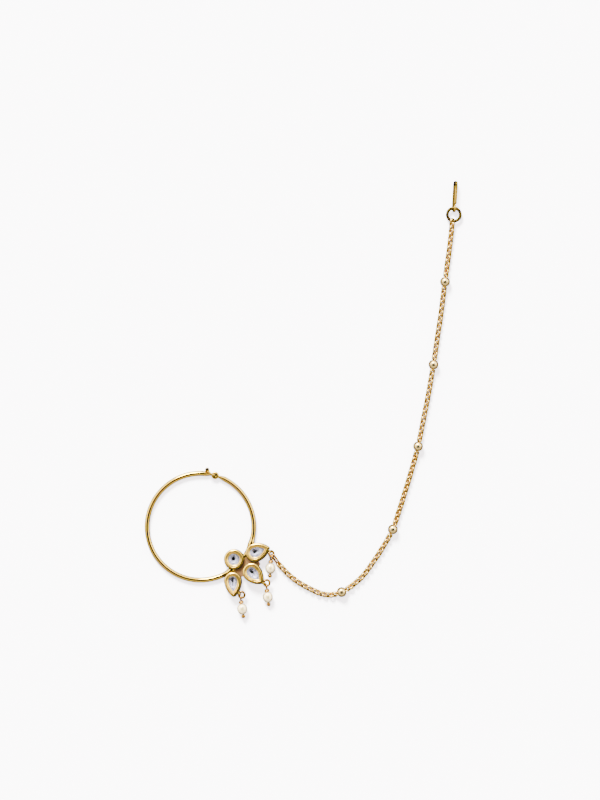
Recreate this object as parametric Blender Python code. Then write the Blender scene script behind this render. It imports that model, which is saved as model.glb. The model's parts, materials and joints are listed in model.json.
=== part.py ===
"""Nose ring with chain.

A gold wire hoop closes with a hook and eye. Four closed-back settings with flat-backed stones are
soldered over the wire as a small fan: one round setting and three pear-shaped petals. A pearl drop hangs
from each petal's tip, and from the upper petal's ring a belcher chain with five gold beads runs to a ring
and a hair hook.

Metres, +Z up. The jewel lies on the plane z = 0, seen from above as it is laid out: +Y runs from the drops
towards the hair hook, and the origin is the middle of its bounding box on that plane.
"""
import math

import bmesh
import bpy
from mathutils import Matrix, Vector

MM = 0.001
UP = Vector((0, 0, 1))

# Clearance between pieces that hang in or pass through each other
LINK_GAP = 0.08 * MM

# Hoop
HOOP_OUTER_DIAMETER = 40.5 * MM
HOOP_WIRE = 1.7 * MM
HOOP_SEGMENTS = 84
WIRE_SIDES = 8
# Where the wire passes behind the settings, and the way from the hoop's centre to that place
HOOP_JOINT_X = -22.65 * MM
HOOP_JOINT_Y = -59.15 * MM
HOOP_JOINT_BEARING = -40.8
# Solder swells the wire where it enters and leaves the fan of settings
SOLDER_JOINT_BEARINGS = (-55.5, -18.5)
SOLDER_SWELL = 0.5 * MM
SOLDER_REACH = 1.5 * MM

# Hook and eye that close the hoop
CLOSURE_BEARING = 74.0
CLOSURE_WIRE = 0.75 * MM
CLOSURE_TAPER = 3.0 * MM
EYE_WIRE = 0.85 * MM
HOOK_LEG = 2.5 * MM
HOOK_SPREAD = 1.25 * MM
HOOK_DROP = 0.35 * MM
HOOK_KNOB = 1.5 * MM

# Settings: a drafted wall, a rounded rim, a lip that slopes down to the stone, and a well with a floor
SETTING_HEIGHT = 2.3 * MM
SETTING_SOLDER_LAP = 0.6 * MM
SETTING_TILT = 6.0
WALL_DRAFT = 0.15 * MM
RIM_WIDTH = 1.0 * MM
RIM_RISE = 0.38 * MM
LIP_WIDTH = 0.55 * MM
LIP_DROP = 0.75 * MM
LIP_EDGE = 0.12 * MM
WELL_FLOOR = 0.6 * MM
ROUND_DIAMETER = 7.6 * MM
PETAL_WIDTH = 7.0 * MM
PETAL_LENGTH = 5.75 * MM
PETAL_FLANK_START = 86.0
PETAL_MIN_TIP = 0.03 * MM
SETTING_SPACING = 0.7 * MM
# The round setting's centre, seen from the joint with the hoop
ROUND_OFFSET = Vector((-2.4, 0.8)) * MM

# Back plate that carries the settings
PLATE_THICKNESS = 0.45 * MM
PLATE_INSET = 0.1 * MM
PLATE_REACH = 9.8 * MM
PLATE_BEARING = -11.0

# Stones
STONE_GAP = 0.08 * MM
STONE_HOLD = 0.12 * MM
STONE_TABLE_DROP = 0.3 * MM
STONE_GIRDLE = 0.15 * MM
STONE_TABLE_SHARE = 0.55
STONE_BASE_SHARE = 0.6

# Drops: a loop on the petal, a jump ring, and a headed pin through a pearl
LOOP_WIRE = 0.38 * MM
LOOP_HEIGHT = 0.8 * MM
RING_WIRE = 0.65 * MM
RING_OUTER_DIAMETER = 2.8 * MM
PIN_WIRE = 0.42 * MM
PIN_EYE_SLACK = 0.18 * MM
PIN_WRAP_WIRE = 0.34 * MM
PIN_WRAP_DIAMETERS = (1.2 * MM, 1.42 * MM, 1.6 * MM)
PEARL_WIDTH = 3.7 * MM
PEARL_LENGTH = 4.1 * MM
PEARL_BORE = 0.66 * MM
PEARL_SIDES = 14
DROP_BALL = 1.4 * MM
# Half angle of the small flat that ends a ball
BALL_POLE = 6.0

# Long oval ring between the upper petal's jump ring and the chain
OVAL_WIRE = 0.6 * MM
OVAL_LENGTH = 5.0 * MM
OVAL_WIDTH = 2.0 * MM
OVAL_BEARING = -36.0
OVAL_HOLD = 0.62 * MM

# Chain and its beads
CHAIN_WIDTH = 2.0 * MM
CHAIN_END_GAP = 0.12 * MM
CHAIN_POINT_SPACING = 4.0 * MM
CHAIN_LIFT_REACH = 5.5 * MM
BEAD_DIAMETER = 3.65 * MM
BEAD_BORE = 1.7 * MM
BEAD_SIDES = 16
# Steps along a bead or a pearl
BEAD_STEPS = 8
BEAD_EYE_WIRE = 0.4 * MM
BEAD_EYE_HOLE = 0.62 * MM
BEAD_EYE_STAND = 0.1 * MM
BEAD_PIN_WIRE = 0.38 * MM

# End ring and hair hook
END_RING_OUTER_DIAMETER = 5.75 * MM
END_RING_WIRE = 0.98 * MM
END_RING_BEARING = 78.0
HAIR_HOOK_WIRE = 0.85 * MM
HAIR_HOOK_LENGTH = 10.9 * MM
HAIR_HOOK_GAP = 1.2 * MM
HAIR_HOOK_OPENING = 1.4 * MM
HAIR_HOOK_BEARING = 87.0
HAIR_HOOK_LEAN = 20.0

# Petals, seen from the round setting. place and point are bearings in degrees: where the petal stands and
# where its tip points. size and length are shares of the petal's width and length, and tip rounds the tip by
# a share of its half width. loop is the turn from the tip to the hanging loop. ring is the bearing of the
# jump ring, hold the side of it where the pin hangs and drop the pin's own bearing. slope tips the ring down,
# and roll turns it about that way.
PETALS = (
    {"name": "upper", "place": 17.7, "point": 19.5, "size": 1.0, "length": 1.0, "tip": 0.13,
     "loop": -13.0, "ring": -56.0, "hold": -106.0, "drop": -94.0, "slope": 14.0, "roll": -38.0},
    {"name": "middle", "place": -35.7, "point": -46.0, "size": 1.0, "length": 0.99, "tip": 0.2,
     "loop": 2.0, "ring": 10.0, "hold": -96.0, "drop": -83.5, "slope": 14.0, "roll": 0.0},
    {"name": "lower", "place": -93.0, "point": -86.0, "size": 0.95, "length": 1.02, "tip": 0.34,
     "loop": 21.0, "ring": -30.0, "hold": -116.0, "drop": -81.5, "slope": 12.0, "roll": 0.0},
)

# The chain's way over the surface, in millimetres, chosen along its laid-out course. The rows marked True
# carry a bead.
CHAIN_ROUTE = (
    (-8.5, -60.5, False), (-4.1, -64.9, False), (1.3, -68.4, False), (8.0, -71.1, False),
    (14.0, -70.2, True), (20.7, -65.4, False), (25.2, -59.7, False), (29.2, -53.6, False),
    (32.6, -47.4, True), (35.0, -40.4, False), (37.2, -33.4, False), (39.3, -26.4, False),
    (41.8, -17.2, True), (44.2, -5.3, False), (45.6, 1.8, False), (47.4, 12.5, True),
    (49.0, 23.4, False), (50.1, 30.6, False), (51.6, 42.6, True), (52.9, 52.2, False),
    (53.8, 59.4, False), (54.2, 64.1, False),
)


def bearing(degrees):
    """Level unit vector that points along a bearing, counted from +X."""
    angle = math.radians(degrees)
    return Vector((math.cos(angle), math.sin(angle), 0))


def level(point, height=0.0):
    """Point of the plan, at a height."""
    return Vector((point[0], point[1], height))


def circle(centre, first, second, radius, count, start=0.0, turn=360.0):
    """Points of an arc in the plane of two unit vectors; a whole turn leaves its last point out."""
    steps = count if turn == 360.0 else count - 1
    points = []
    for index in range(count):
        angle = math.radians(start + turn * index / steps)
        points.append(centre + (first * math.cos(angle) + second * math.sin(angle)) * radius)
    return points


def tangents_of(points, closed):
    """Unit direction of a line of points at each of them."""
    last = len(points) - 1
    result = []
    for index in range(len(points)):
        before = points[index - 1] if closed or index else points[0]
        after = points[(index + 1) % len(points)] if closed or index < last else points[last]
        result.append((after - before).normalized())
    return result


def loft(rings, closed=False):
    """Solid skinned over rings of as many points each, with flat ends unless it closes on itself."""
    bm = bmesh.new()
    loops = [[bm.verts.new(point) for point in ring] for ring in rings]
    count = len(loops[0])
    pairs = list(zip(loops, loops[1:]))
    if closed:
        pairs.append((loops[-1], loops[0]))
    else:
        bm.faces.new(loops[0])
        bm.faces.new(loops[-1])
    for lower, upper in pairs:
        for index in range(count):
            following = (index + 1) % count
            bm.faces.new((lower[index], lower[following], upper[following], upper[index]))
    bmesh.ops.recalc_face_normals(bm, faces=bm.faces)
    return bm


def wire(points, radii, sides, up, closed=False):
    """Round wire along points. radii is one radius, or one for each point."""
    if not hasattr(radii, "__len__"):
        radii = [radii] * len(points)
    rings = []
    for point, tangent, radius in zip(points, tangents_of(points, closed), radii):
        up = (up - tangent * up.dot(tangent)).normalized()
        rings.append(circle(point, up, tangent.cross(up), radius, sides))
    return loft(rings, closed)


def ring(centre, first, second, radius, thickness, count=14, sides=6):
    """Closed round ring of wire, in the plane of two unit vectors."""
    points = circle(centre, first, second, radius, count)
    return wire(points, thickness / 2, sides, first.cross(second), closed=True)


def new_finish(name, colour, roughness, metallic, transmission=0.0):
    """Principled material of one colour."""
    finish = bpy.data.materials.new(name)
    finish.use_nodes = True
    shader = finish.node_tree.nodes["Principled BSDF"]
    shader.inputs["Base Color"].default_value = (*colour, 1.0)
    shader.inputs["Roughness"].default_value = roughness
    shader.inputs["Metallic"].default_value = metallic
    shader.inputs["Transmission Weight"].default_value = transmission
    finish.diffuse_color = (*colour, 1.0)
    return finish


def add_mesh(name, mesh, finish, crease=40.0):
    """Scene object for a mesh, shaded smooth up to a crease angle."""
    mesh.shade_smooth()
    mesh.set_sharp_from_angle(angle=math.radians(crease))
    mesh.materials.clear()
    mesh.materials.append(finish)
    piece = bpy.data.objects.new(name, mesh)
    bpy.context.scene.collection.objects.link(piece)
    return piece


def add_piece(name, bm, finish, crease=40.0):
    """Scene object for one bmesh solid."""
    mesh = bpy.data.meshes.new(name)
    bm.to_mesh(mesh)
    bm.free()
    return add_mesh(name, mesh, finish, crease)


def solder(name, solids, finish):
    """Join overlapping solids into one body."""
    pieces = [add_piece(f"{name}_solid_{index}", bm, finish) for index, bm in enumerate(solids)]
    for other in pieces[1:]:
        join = pieces[0].modifiers.new("join", "BOOLEAN")
        join.operation = "UNION"
        join.solver = "EXACT"
        join.object = other
    graph = bpy.context.evaluated_depsgraph_get()
    mesh = bpy.data.meshes.new_from_object(pieces[0].evaluated_get(graph))
    mesh.name = name
    for piece in pieces:
        bpy.data.objects.remove(piece, do_unlink=True)
    return add_mesh(name, mesh, finish)


def ball_end(points, radii, direction, neck, ball):
    """Carry a wire on into a ball whose centre is the last point."""
    centre = points.pop()
    radii.pop()
    radius = ball / 2
    start = math.asin(neck / radius)
    steps = 6
    for step in range(steps + 1):
        angle = start + (math.pi - math.radians(BALL_POLE) - start) * step / steps
        points.append(centre - direction * radius * math.cos(angle))
        radii.append(radius * math.sin(angle))


def hoop_radius():
    """Radius of the hoop's centreline."""
    return (HOOP_OUTER_DIAMETER - HOOP_WIRE) / 2


def hoop_centre():
    """Centre of the hoop on the surface."""
    return level((HOOP_JOINT_X, HOOP_JOINT_Y)) - bearing(HOOP_JOINT_BEARING) * hoop_radius()


def smooth_step(share):
    """Ease from 0 to 1."""
    share = min(max(share, 0.0), 1.0)
    return share * share * (3 - 2 * share)


def eye_radius():
    """Radius of the closure eye's centreline, which the hook passes through."""
    return (EYE_WIRE + CLOSURE_WIRE) / 2 + LINK_GAP


def eye_height():
    """Height of the eye, which leaves the hook's lower leg room to lie under it."""
    return CLOSURE_WIRE + LINK_GAP + EYE_WIRE / 2 + LINK_GAP / 2


def hoop_wire():
    """The open wire of the hoop, from the root of its eye clockwise round to the knob of its hook."""
    radius = hoop_radius()
    centre = hoop_centre()
    outward = bearing(CLOSURE_BEARING)
    onward = bearing(CLOSURE_BEARING - 90)
    bend = eye_radius()
    eye_z = eye_height()
    leg_z = eye_z - bend
    length = 2 * math.pi * radius - eye_radius() - bend
    points = []
    radii = []
    for step in range(HOOP_SEGMENTS + 1):
        way = length * step / HOOP_SEGMENTS
        turned = math.degrees((eye_radius() + way) / radius)
        thick = HOOP_WIRE / 2
        for joint in SOLDER_JOINT_BEARINGS:
            off = math.radians(CLOSURE_BEARING - turned - joint) * radius
            thick += SOLDER_SWELL / 2 * math.exp(-(off / SOLDER_REACH) ** 2)
        at_eye = 1 - smooth_step(way / CLOSURE_TAPER)
        at_hook = 1 - smooth_step((length - way) / CLOSURE_TAPER)
        height = thick + (eye_z - thick) * at_eye + (leg_z - thick) * at_hook
        thick += (EYE_WIRE / 2 - thick) * at_eye + (CLOSURE_WIRE / 2 - thick) * at_hook
        place = centre + bearing(CLOSURE_BEARING - turned) * radius
        points.append(level(place, height))
        radii.append(thick)
    # The hook turns up through the eye and comes back over it
    middle = level(centre + outward * radius - onward * bend, eye_z)
    for point in circle(middle, -UP, onward, bend, 9, turn=180.0)[1:]:
        points.append(point)
        radii.append(CLOSURE_WIRE / 2)
    leg_start = points[-1]
    leg = -onward * HOOK_LEG + outward * HOOK_SPREAD - UP * HOOK_DROP
    for share in (0.35, 0.7, 1.0):
        rise = share * share
        points.append(leg_start - onward * HOOK_LEG * share + outward * HOOK_SPREAD * rise
                      - UP * HOOK_DROP * rise)
        radii.append(CLOSURE_WIRE / 2)
    ball_end(points, radii, leg.normalized(), CLOSURE_WIRE / 2, HOOK_KNOB)
    return wire(points, radii, WIRE_SIDES, UP)


def hoop_eye():
    """The eye on the hoop's other end."""
    centre = level(hoop_centre() + bearing(CLOSURE_BEARING) * hoop_radius(), eye_height())
    return ring(centre, bearing(0), bearing(90), eye_radius(), EYE_WIRE, 14, 8)


def fan_frame():
    """Places the fan of settings: its plan over the surface, tipped about the hoop wire behind it."""
    pivot = level((HOOP_JOINT_X, HOOP_JOINT_Y), HOOP_WIRE - SETTING_SOLDER_LAP)
    axis = bearing(HOOP_JOINT_BEARING + 90)
    return Matrix.Translation(pivot) @ Matrix.Rotation(math.radians(-SETTING_TILT), 4, axis)


def petal_centre(petal):
    """Middle of a petal's round part in the fan's plan."""
    reach = (ROUND_DIAMETER + PETAL_WIDTH * petal["size"]) / 2 + SETTING_SPACING
    return level(ROUND_OFFSET) + bearing(petal["place"]) * reach


def petal_outline(petal, inset, coarse=False):
    """Outline of a petal, moved inwards, in its own plan with the tip along +X."""
    bulb = PETAL_WIDTH / 2 * petal["size"]
    length = PETAL_LENGTH * petal["length"]
    start = math.radians(PETAL_FLANK_START)
    blunt = petal["tip"] * bulb
    room = bulb - blunt
    reach = length - blunt
    flank = bulb + (reach ** 2 - room ** 2) / (2 * (room - reach * math.cos(start)))
    back = Vector((math.cos(start), math.sin(start), 0)) * (bulb - flank)
    tip = max(blunt - inset, PETAL_MIN_TIP)
    reach = math.sqrt((flank - inset - tip) ** 2 - back.y ** 2)
    tip_centre = Vector((back.x + reach, 0, 0))
    end = math.atan2(-back.y, reach)
    x_axis, y_axis = Vector((1, 0, 0)), Vector((0, 1, 0))
    bulb_steps, flank_steps, tip_steps = (8, 3, 2) if coarse else (12, 4, 3)
    mirrored = Vector((back.x, -back.y, 0))
    arcs = (
        (Vector(), bulb - inset, start, 2 * math.pi - start, bulb_steps),
        (mirrored, flank - inset, -start, -end, flank_steps),
        (tip_centre, tip, -end, end, tip_steps),
        (back, flank - inset, end, start, flank_steps),
    )
    points = []
    for centre, radius, first, last, steps in arcs:
        turn = math.degrees(last - first)
        points += circle(centre, x_axis, y_axis, radius, steps + 1, math.degrees(first), turn)[:-1]
    return points


def round_outline(inset, coarse=False):
    """Outline of the round setting, moved inwards, in its own plan."""
    count = 16 if coarse else 24
    return circle(Vector(), Vector((1, 0, 0)), Vector((0, 1, 0)), ROUND_DIAMETER / 2 - inset, count)


def setting_places():
    """Each setting's name, outline function and place."""
    frame = fan_frame()
    places = [("round", round_outline, frame @ Matrix.Translation(level(ROUND_OFFSET)))]
    for petal in PETALS:
        def outline(inset, coarse=False, petal=petal):
            return petal_outline(petal, inset, coarse)
        turn = Matrix.Rotation(math.radians(petal["point"]), 4, UP)
        places.append((petal["name"], outline, frame @ Matrix.Translation(petal_centre(petal)) @ turn))
    return places


def lip_inset():
    """How far the edge round the stone lies inside the setting's foot."""
    return WALL_DRAFT + RIM_WIDTH + LIP_WIDTH


def setting(outline, place):
    """One closed-back setting, from its foot over the rim and down into the well."""
    shoulder = SETTING_HEIGHT - RIM_RISE
    profile = [(0.0, 0.0)]
    rim_steps = 6
    for step in range(rim_steps + 1):
        angle = math.pi * step / rim_steps
        across = WALL_DRAFT + RIM_WIDTH / 2 * (1 - math.cos(angle))
        profile.append((across, shoulder + RIM_RISE * math.sin(angle)))
    lip = lip_inset()
    well = lip - STONE_HOLD - STONE_GAP
    lip_top = SETTING_HEIGHT - LIP_DROP
    profile += [(lip, lip_top), (lip, lip_top - LIP_EDGE), (well, lip_top - LIP_EDGE), (well, WELL_FLOOR)]
    rings = []
    for inset, height in profile:
        rings.append([place @ (point + UP * height) for point in outline(inset)])
    return loft(rings)


def stone(outline, place):
    """Flat-backed cut stone: an eight-sided table, crown facets, a girdle and a tapered back."""
    lip = lip_inset()
    girdle = outline(lip - STONE_HOLD, coarse=True)
    table_z = SETTING_HEIGHT - STONE_TABLE_DROP
    lip_foot = SETTING_HEIGHT - LIP_DROP - LIP_EDGE
    girdle_z = lip_foot - STONE_GAP - STONE_HOLD
    table = [point * STONE_TABLE_SHARE + UP * table_z for point in girdle[::2]]
    base = [point * STONE_BASE_SHARE + UP * (WELL_FLOOR + STONE_GAP) for point in girdle[::2]]
    upper = [point + UP * girdle_z for point in girdle]
    lower = [point + UP * (girdle_z - STONE_GIRDLE) for point in girdle]
    bm = bmesh.new()
    table, base, upper, lower = ([bm.verts.new(place @ point) for point in level_points]
                                 for level_points in (table, base, upper, lower))
    bm.faces.new(table)
    bm.faces.new(base)
    count = len(upper)
    for index in range(count):
        after = (index + 1) % count
        bm.faces.new((lower[index], lower[after], upper[after], upper[index]))
    for small, large in ((table, upper), (base, lower)):
        for index in range(len(small)):
            after = (index + 1) % len(small)
            first, middle, last = 2 * index, 2 * index + 1, (2 * index + 2) % count
            bm.faces.new((small[index], large[first], large[middle]))
            bm.faces.new((small[index], large[middle], small[after]))
            bm.faces.new((small[after], large[middle], large[last]))
    bmesh.ops.recalc_face_normals(bm, faces=bm.faces)
    return bm


def back_plate():
    """Flat plate under the settings, which shows as copper-coloured metal between them."""
    frame = fan_frame()
    corners = [level(ROUND_OFFSET), petal_centre(PETALS[0])]
    corners.append(level(ROUND_OFFSET) + bearing(PLATE_BEARING) * PLATE_REACH)
    corners += [petal_centre(PETALS[1]), petal_centre(PETALS[2])]
    rings = []
    for height in (PLATE_INSET, PLATE_INSET + PLATE_THICKNESS):
        rings.append([frame @ (corner + UP * height) for corner in corners])
    return loft(rings)


def wall_point(petal):
    """Where a petal's hanging loop meets its wall, and the way outwards there, in the fan's plan."""
    points = petal_outline(petal, WALL_DRAFT * LOOP_HEIGHT / SETTING_HEIGHT)
    aim = bearing(petal["loop"])
    for index, first in enumerate(points):
        second = points[(index + 1) % len(points)]
        edge = second - first
        spread = aim.x * edge.y - aim.y * edge.x
        if abs(spread) < 1e-12:
            continue
        along = (first.x * edge.y - first.y * edge.x) / spread
        share = (first.x * aim.y - first.y * aim.x) / spread
        if along > 0 and 0 <= share < 1:
            outward = Vector((edge.y, -edge.x, 0)).normalized()
            break
    turn = Matrix.Rotation(math.radians(petal["point"]), 3, UP)
    return petal_centre(petal) + turn @ (aim * along), turn @ outward


def loop_hole(petal):
    """Centre of a petal's hanging loop, and its outward way, in the world."""
    frame = fan_frame()
    place, outward = wall_point(petal)
    stand = RING_WIRE / 2 + LINK_GAP
    return frame @ (place + outward * stand + UP * LOOP_HEIGHT), (frame.to_3x3() @ outward).normalized()


def hanging_loop(petal):
    """Small upright loop soldered to a petal's wall, turned half-way towards its jump ring."""
    centre, outward = loop_hole(petal)
    radius = (RING_WIRE + LOOP_WIRE) / 2 + LINK_GAP
    aim = (outward + bearing(petal["ring"])).normalized()
    side = aim.cross(UP).normalized()
    return ring(centre, aim, side.cross(aim), radius, LOOP_WIRE, 12)


def ring_radius():
    """Radius of a jump ring's centreline."""
    return (RING_OUTER_DIAMETER - RING_WIRE) / 2


def ring_axes(petal):
    """Centre of a petal's jump ring and the two unit vectors of its plane."""
    slope = math.radians(petal["slope"])
    first = bearing(petal["ring"]) * math.cos(slope) - UP * math.sin(slope)
    second = bearing(petal["ring"] + 90)
    second = Matrix.Rotation(math.radians(petal["roll"]), 3, first) @ second
    centre = loop_hole(petal)[0] + first * ring_radius()
    return centre, first, second


def ring_point(petal, way):
    """Point of a jump ring's wire on the side that a bearing points to, and the wire's direction there."""
    centre, first, second = ring_axes(petal)
    aim = bearing(way)
    outward = (first * aim.dot(first) + second * aim.dot(second)).normalized()
    along = first.cross(second).cross(outward)
    return centre + outward * ring_radius(), along


def pin_length():
    """Way along a pin from its eye's centre to the pearl's centre."""
    wrapped = len(PIN_WRAP_DIAMETERS) * PIN_WRAP_WIRE
    return pin_eye_radius() + PIN_WIRE / 2 + wrapped + LINK_GAP + PEARL_LENGTH / 2


def pin_eye_radius():
    """Radius of a pin's eye, which the jump ring passes through."""
    return (PIN_WIRE + RING_WIRE) / 2 + LINK_GAP + PIN_EYE_SLACK


def pearl_height(slope):
    """Height at which a sloping oval pearl touches the surface."""
    long_part = PEARL_LENGTH / 2 * math.sin(slope)
    wide_part = PEARL_WIDTH / 2 * math.cos(slope)
    return math.hypot(long_part, wide_part)


def pin_axes(petal):
    """Centre of a pin's eye, the pin's direction and the second unit vector of the eye's plane."""
    hold, along = ring_point(petal, petal["hold"])
    hold += bearing(petal["drop"]) * PIN_EYE_SLACK
    slope = 0.0
    for _ in range(8):
        fall = hold.z - pearl_height(slope)
        slope = math.asin(min(max(fall / pin_length(), -0.9), 0.9))
    direction = bearing(petal["drop"]) * math.cos(slope) - UP * math.sin(slope)
    across = (along - direction * along.dot(direction)).normalized()
    return hold, direction, across.cross(direction)


def headed_pin(petal, finish):
    """Pin with an eye, turns of wrapped wire that widen to the pearl, and a ball below it."""
    centre, direction, upright = pin_axes(petal)
    eye_radius = pin_eye_radius()
    points = [centre + direction * eye_radius]
    radii = [PIN_WIRE / 2]
    way = eye_radius + PIN_WIRE / 2
    groove = PIN_WRAP_DIAMETERS[0] / 2 - PIN_WRAP_WIRE / 2
    for diameter in PIN_WRAP_DIAMETERS:
        swell = diameter / 2 - groove
        for share, rise in ((0.0, 0.0), (0.2, 0.8), (0.5, 1.0), (0.8, 0.8)):
            points.append(centre + direction * (way + PIN_WRAP_WIRE * share))
            radii.append(groove + swell * rise)
        way += PIN_WRAP_WIRE
    points += [centre + direction * way, centre + direction * way]
    radii += [groove, PIN_WIRE / 2]
    points.append(centre + direction * (pin_length() + PEARL_LENGTH / 2 - LINK_GAP))
    radii.append(PIN_WIRE / 2)
    ball_stand = math.sqrt((DROP_BALL / 2) ** 2 - (PEARL_BORE / 2) ** 2) + LINK_GAP
    points.append(centre + direction * (pin_length() + PEARL_LENGTH / 2 + ball_stand))
    radii.append(0.0)
    ball_end(points, radii, direction, PIN_WIRE / 2, DROP_BALL)
    shank = wire(points, radii, 10, upright)
    eye = ring(centre, direction, upright, eye_radius, PIN_WIRE, 12)
    return solder(f"drop_pin_{petal['name']}", [eye, shank], finish)


def drilled_bead(centre, direction, width, length, bore, around, along, up):
    """Oval bead of revolution with a through bore."""
    start = math.asin(bore / width)
    profile = []
    for step in range(along + 1):
        angle = start + (math.pi - 2 * start) * step / along
        profile.append((-length / 2 * math.cos(angle), width / 2 * math.sin(angle)))
    profile.append((profile[-1][0], bore / 2))
    profile.append((profile[0][0], bore / 2))
    up = (up - direction * up.dot(direction)).normalized()
    side = direction.cross(up)
    rings = []
    for reach, radius in profile[1:-1]:
        rings.append(circle(centre + direction * reach, up, side, radius, around))
    rings.append(circle(centre + direction * profile[-1][0], up, side, bore / 2, around))
    return loft(rings, closed=True)


def pearl(petal):
    """Drilled oval pearl on a pin."""
    centre, direction, upright = pin_axes(petal)
    middle = centre + direction * pin_length()
    return drilled_bead(middle, direction, PEARL_WIDTH, PEARL_LENGTH, PEARL_BORE, PEARL_SIDES,
                        BEAD_STEPS, UP)


def route_curve():
    """Dense points along the chain's way, smooth through the chosen ones, and how far along its beads lie."""
    knots = [Vector((x, y, 0)) * MM for x, y, _ in CHAIN_ROUTE]
    knots = [2 * knots[0] - knots[1]] + knots + [2 * knots[-1] - knots[-2]]
    steps = 24
    points = []
    stops = []
    for index, (_, _, bead) in enumerate(CHAIN_ROUTE):
        if bead:
            stops.append(len(points))
        if index + 1 == len(CHAIN_ROUTE):
            points.append(knots[-2])
            break
        before, first, second, after = knots[index:index + 4]
        for step in range(steps):
            t = step / steps
            points.append(0.5 * (2 * first + (second - before) * t
                                 + (2 * before - 5 * first + 4 * second - after) * t ** 2
                                 + (3 * first - before - 3 * second + after) * t ** 3))
    ways = [0.0]
    for first, second in zip(points, points[1:]):
        ways.append(ways[-1] + (second - first).length)
    return points, ways, [ways[stop] for stop in stops]


def chain_height(way, beads, length):
    """Height of the chain's centre: on the surface, and lifted into its beads and its end rings."""
    rest = CHAIN_WIDTH / 2
    lift = 0.0
    for bead in beads:
        lift = max(lift, (BEAD_DIAMETER / 2 - rest) * (1 - smooth_step(abs(way - bead) / CHAIN_LIFT_REACH)))
    end_lift = (end_ring_height() - rest) * (1 - smooth_step((length - way) / CHAIN_LIFT_REACH))
    return rest + max(lift, end_lift)


def route_point(curve, way):
    """Point of the chain's centreline at a distance along it."""
    points, ways, beads = curve
    way = min(max(way, 0.0), ways[-1])
    index = 1
    while ways[index] < way:
        index += 1
    share = (way - ways[index - 1]) / (ways[index] - ways[index - 1])
    point = points[index - 1].lerp(points[index], share)
    return level(point, chain_height(way, beads, ways[-1]))


def bead_eye_radius():
    """Radius of the eyes inside a bead's mouths."""
    return (BEAD_EYE_HOLE + BEAD_EYE_WIRE) / 2


def bead_half_length():
    """Way from a bead's centre to its drilled mouth."""
    return math.sqrt((BEAD_DIAMETER / 2) ** 2 - (BEAD_BORE / 2) ** 2)


def bead_axes(curve, way):
    """Centre and direction of a bead on the chain, and a unit vector half-way up its side."""
    here = route_point(curve, way)
    step = BEAD_DIAMETER / 2
    direction = (route_point(curve, way + step) - route_point(curve, way - step)).normalized()
    side = direction.cross(UP).normalized()
    return here, direction, (side + side.cross(direction)).normalized()


def bead_pin(name, curve, way, finish):
    """Hidden wire through a bead, with an eye in each mouth for the chain's end links."""
    centre, direction, aslant = bead_axes(curve, way)
    reach = bead_half_length() + BEAD_EYE_STAND
    radius = bead_eye_radius()
    solids = []
    for sense in (-1, 1):
        solids.append(ring(centre + direction * reach * sense, direction, aslant, radius, BEAD_EYE_WIRE, 12))
    half = reach - radius
    solids.append(wire([centre - direction * half, centre + direction * half], BEAD_PIN_WIRE / 2, 6, UP))
    return solder(name, solids, finish)


def chain_tube(name, curve, start, end, finish):
    """Solid of one stretch of chain, at its full width."""
    count = max(3, math.ceil((end - start) / CHAIN_POINT_SPACING) + 1)
    data = bpy.data.curves.new(name, "CURVE")
    data.dimensions = "3D"
    data.bevel_depth = CHAIN_WIDTH / 2
    data.bevel_resolution = 2
    data.use_fill_caps = True
    spline = data.splines.new("POLY")
    spline.points.add(count - 1)
    for index, point in enumerate(spline.points):
        point.co = (*route_point(curve, start + (end - start) * index / (count - 1)), 1.0)
    data.materials.append(finish)
    piece = bpy.data.objects.new(name, data)
    bpy.context.scene.collection.objects.link(piece)


def oval_ring(curve):
    """Long ring from the upper petal's jump ring to the first link of the chain."""
    hold, along = ring_point(PETALS[0], OVAL_BEARING)
    target = route_point(curve, 0.0)
    direction = (target - hold).normalized()
    across = (along - direction * along.dot(direction)).normalized()
    upright = across.cross(direction)
    straight = (OVAL_LENGTH - OVAL_WIDTH) / 2
    radius = (OVAL_WIDTH - OVAL_WIRE) / 2
    centre = hold + direction * ((OVAL_LENGTH - OVAL_WIRE) / 2 - OVAL_HOLD)
    points = circle(centre + direction * straight, upright, direction, radius, 7, turn=180.0)
    points += circle(centre - direction * straight, -upright, -direction, radius, 7, turn=180.0)
    return wire(points, OVAL_WIRE / 2, 6, across, closed=True)


def end_ring_height():
    """Height of the end ring, which leaves the hair hook's eye room to go round it."""
    return HAIR_HOOK_WIRE + LINK_GAP + END_RING_WIRE / 2


def end_ring_centre():
    """Centre of the end ring, just past the chain's last point."""
    last = level([value * MM for value in CHAIN_ROUTE[-1][:2]], end_ring_height())
    return last + bearing(END_RING_BEARING) * (END_RING_OUTER_DIAMETER / 2 + CHAIN_END_GAP)


def end_ring():
    """Round ring that carries the hair hook."""
    radius = (END_RING_OUTER_DIAMETER - END_RING_WIRE) / 2
    return ring(end_ring_centre(), bearing(0), bearing(90), radius, END_RING_WIRE, 24, 8)


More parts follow.
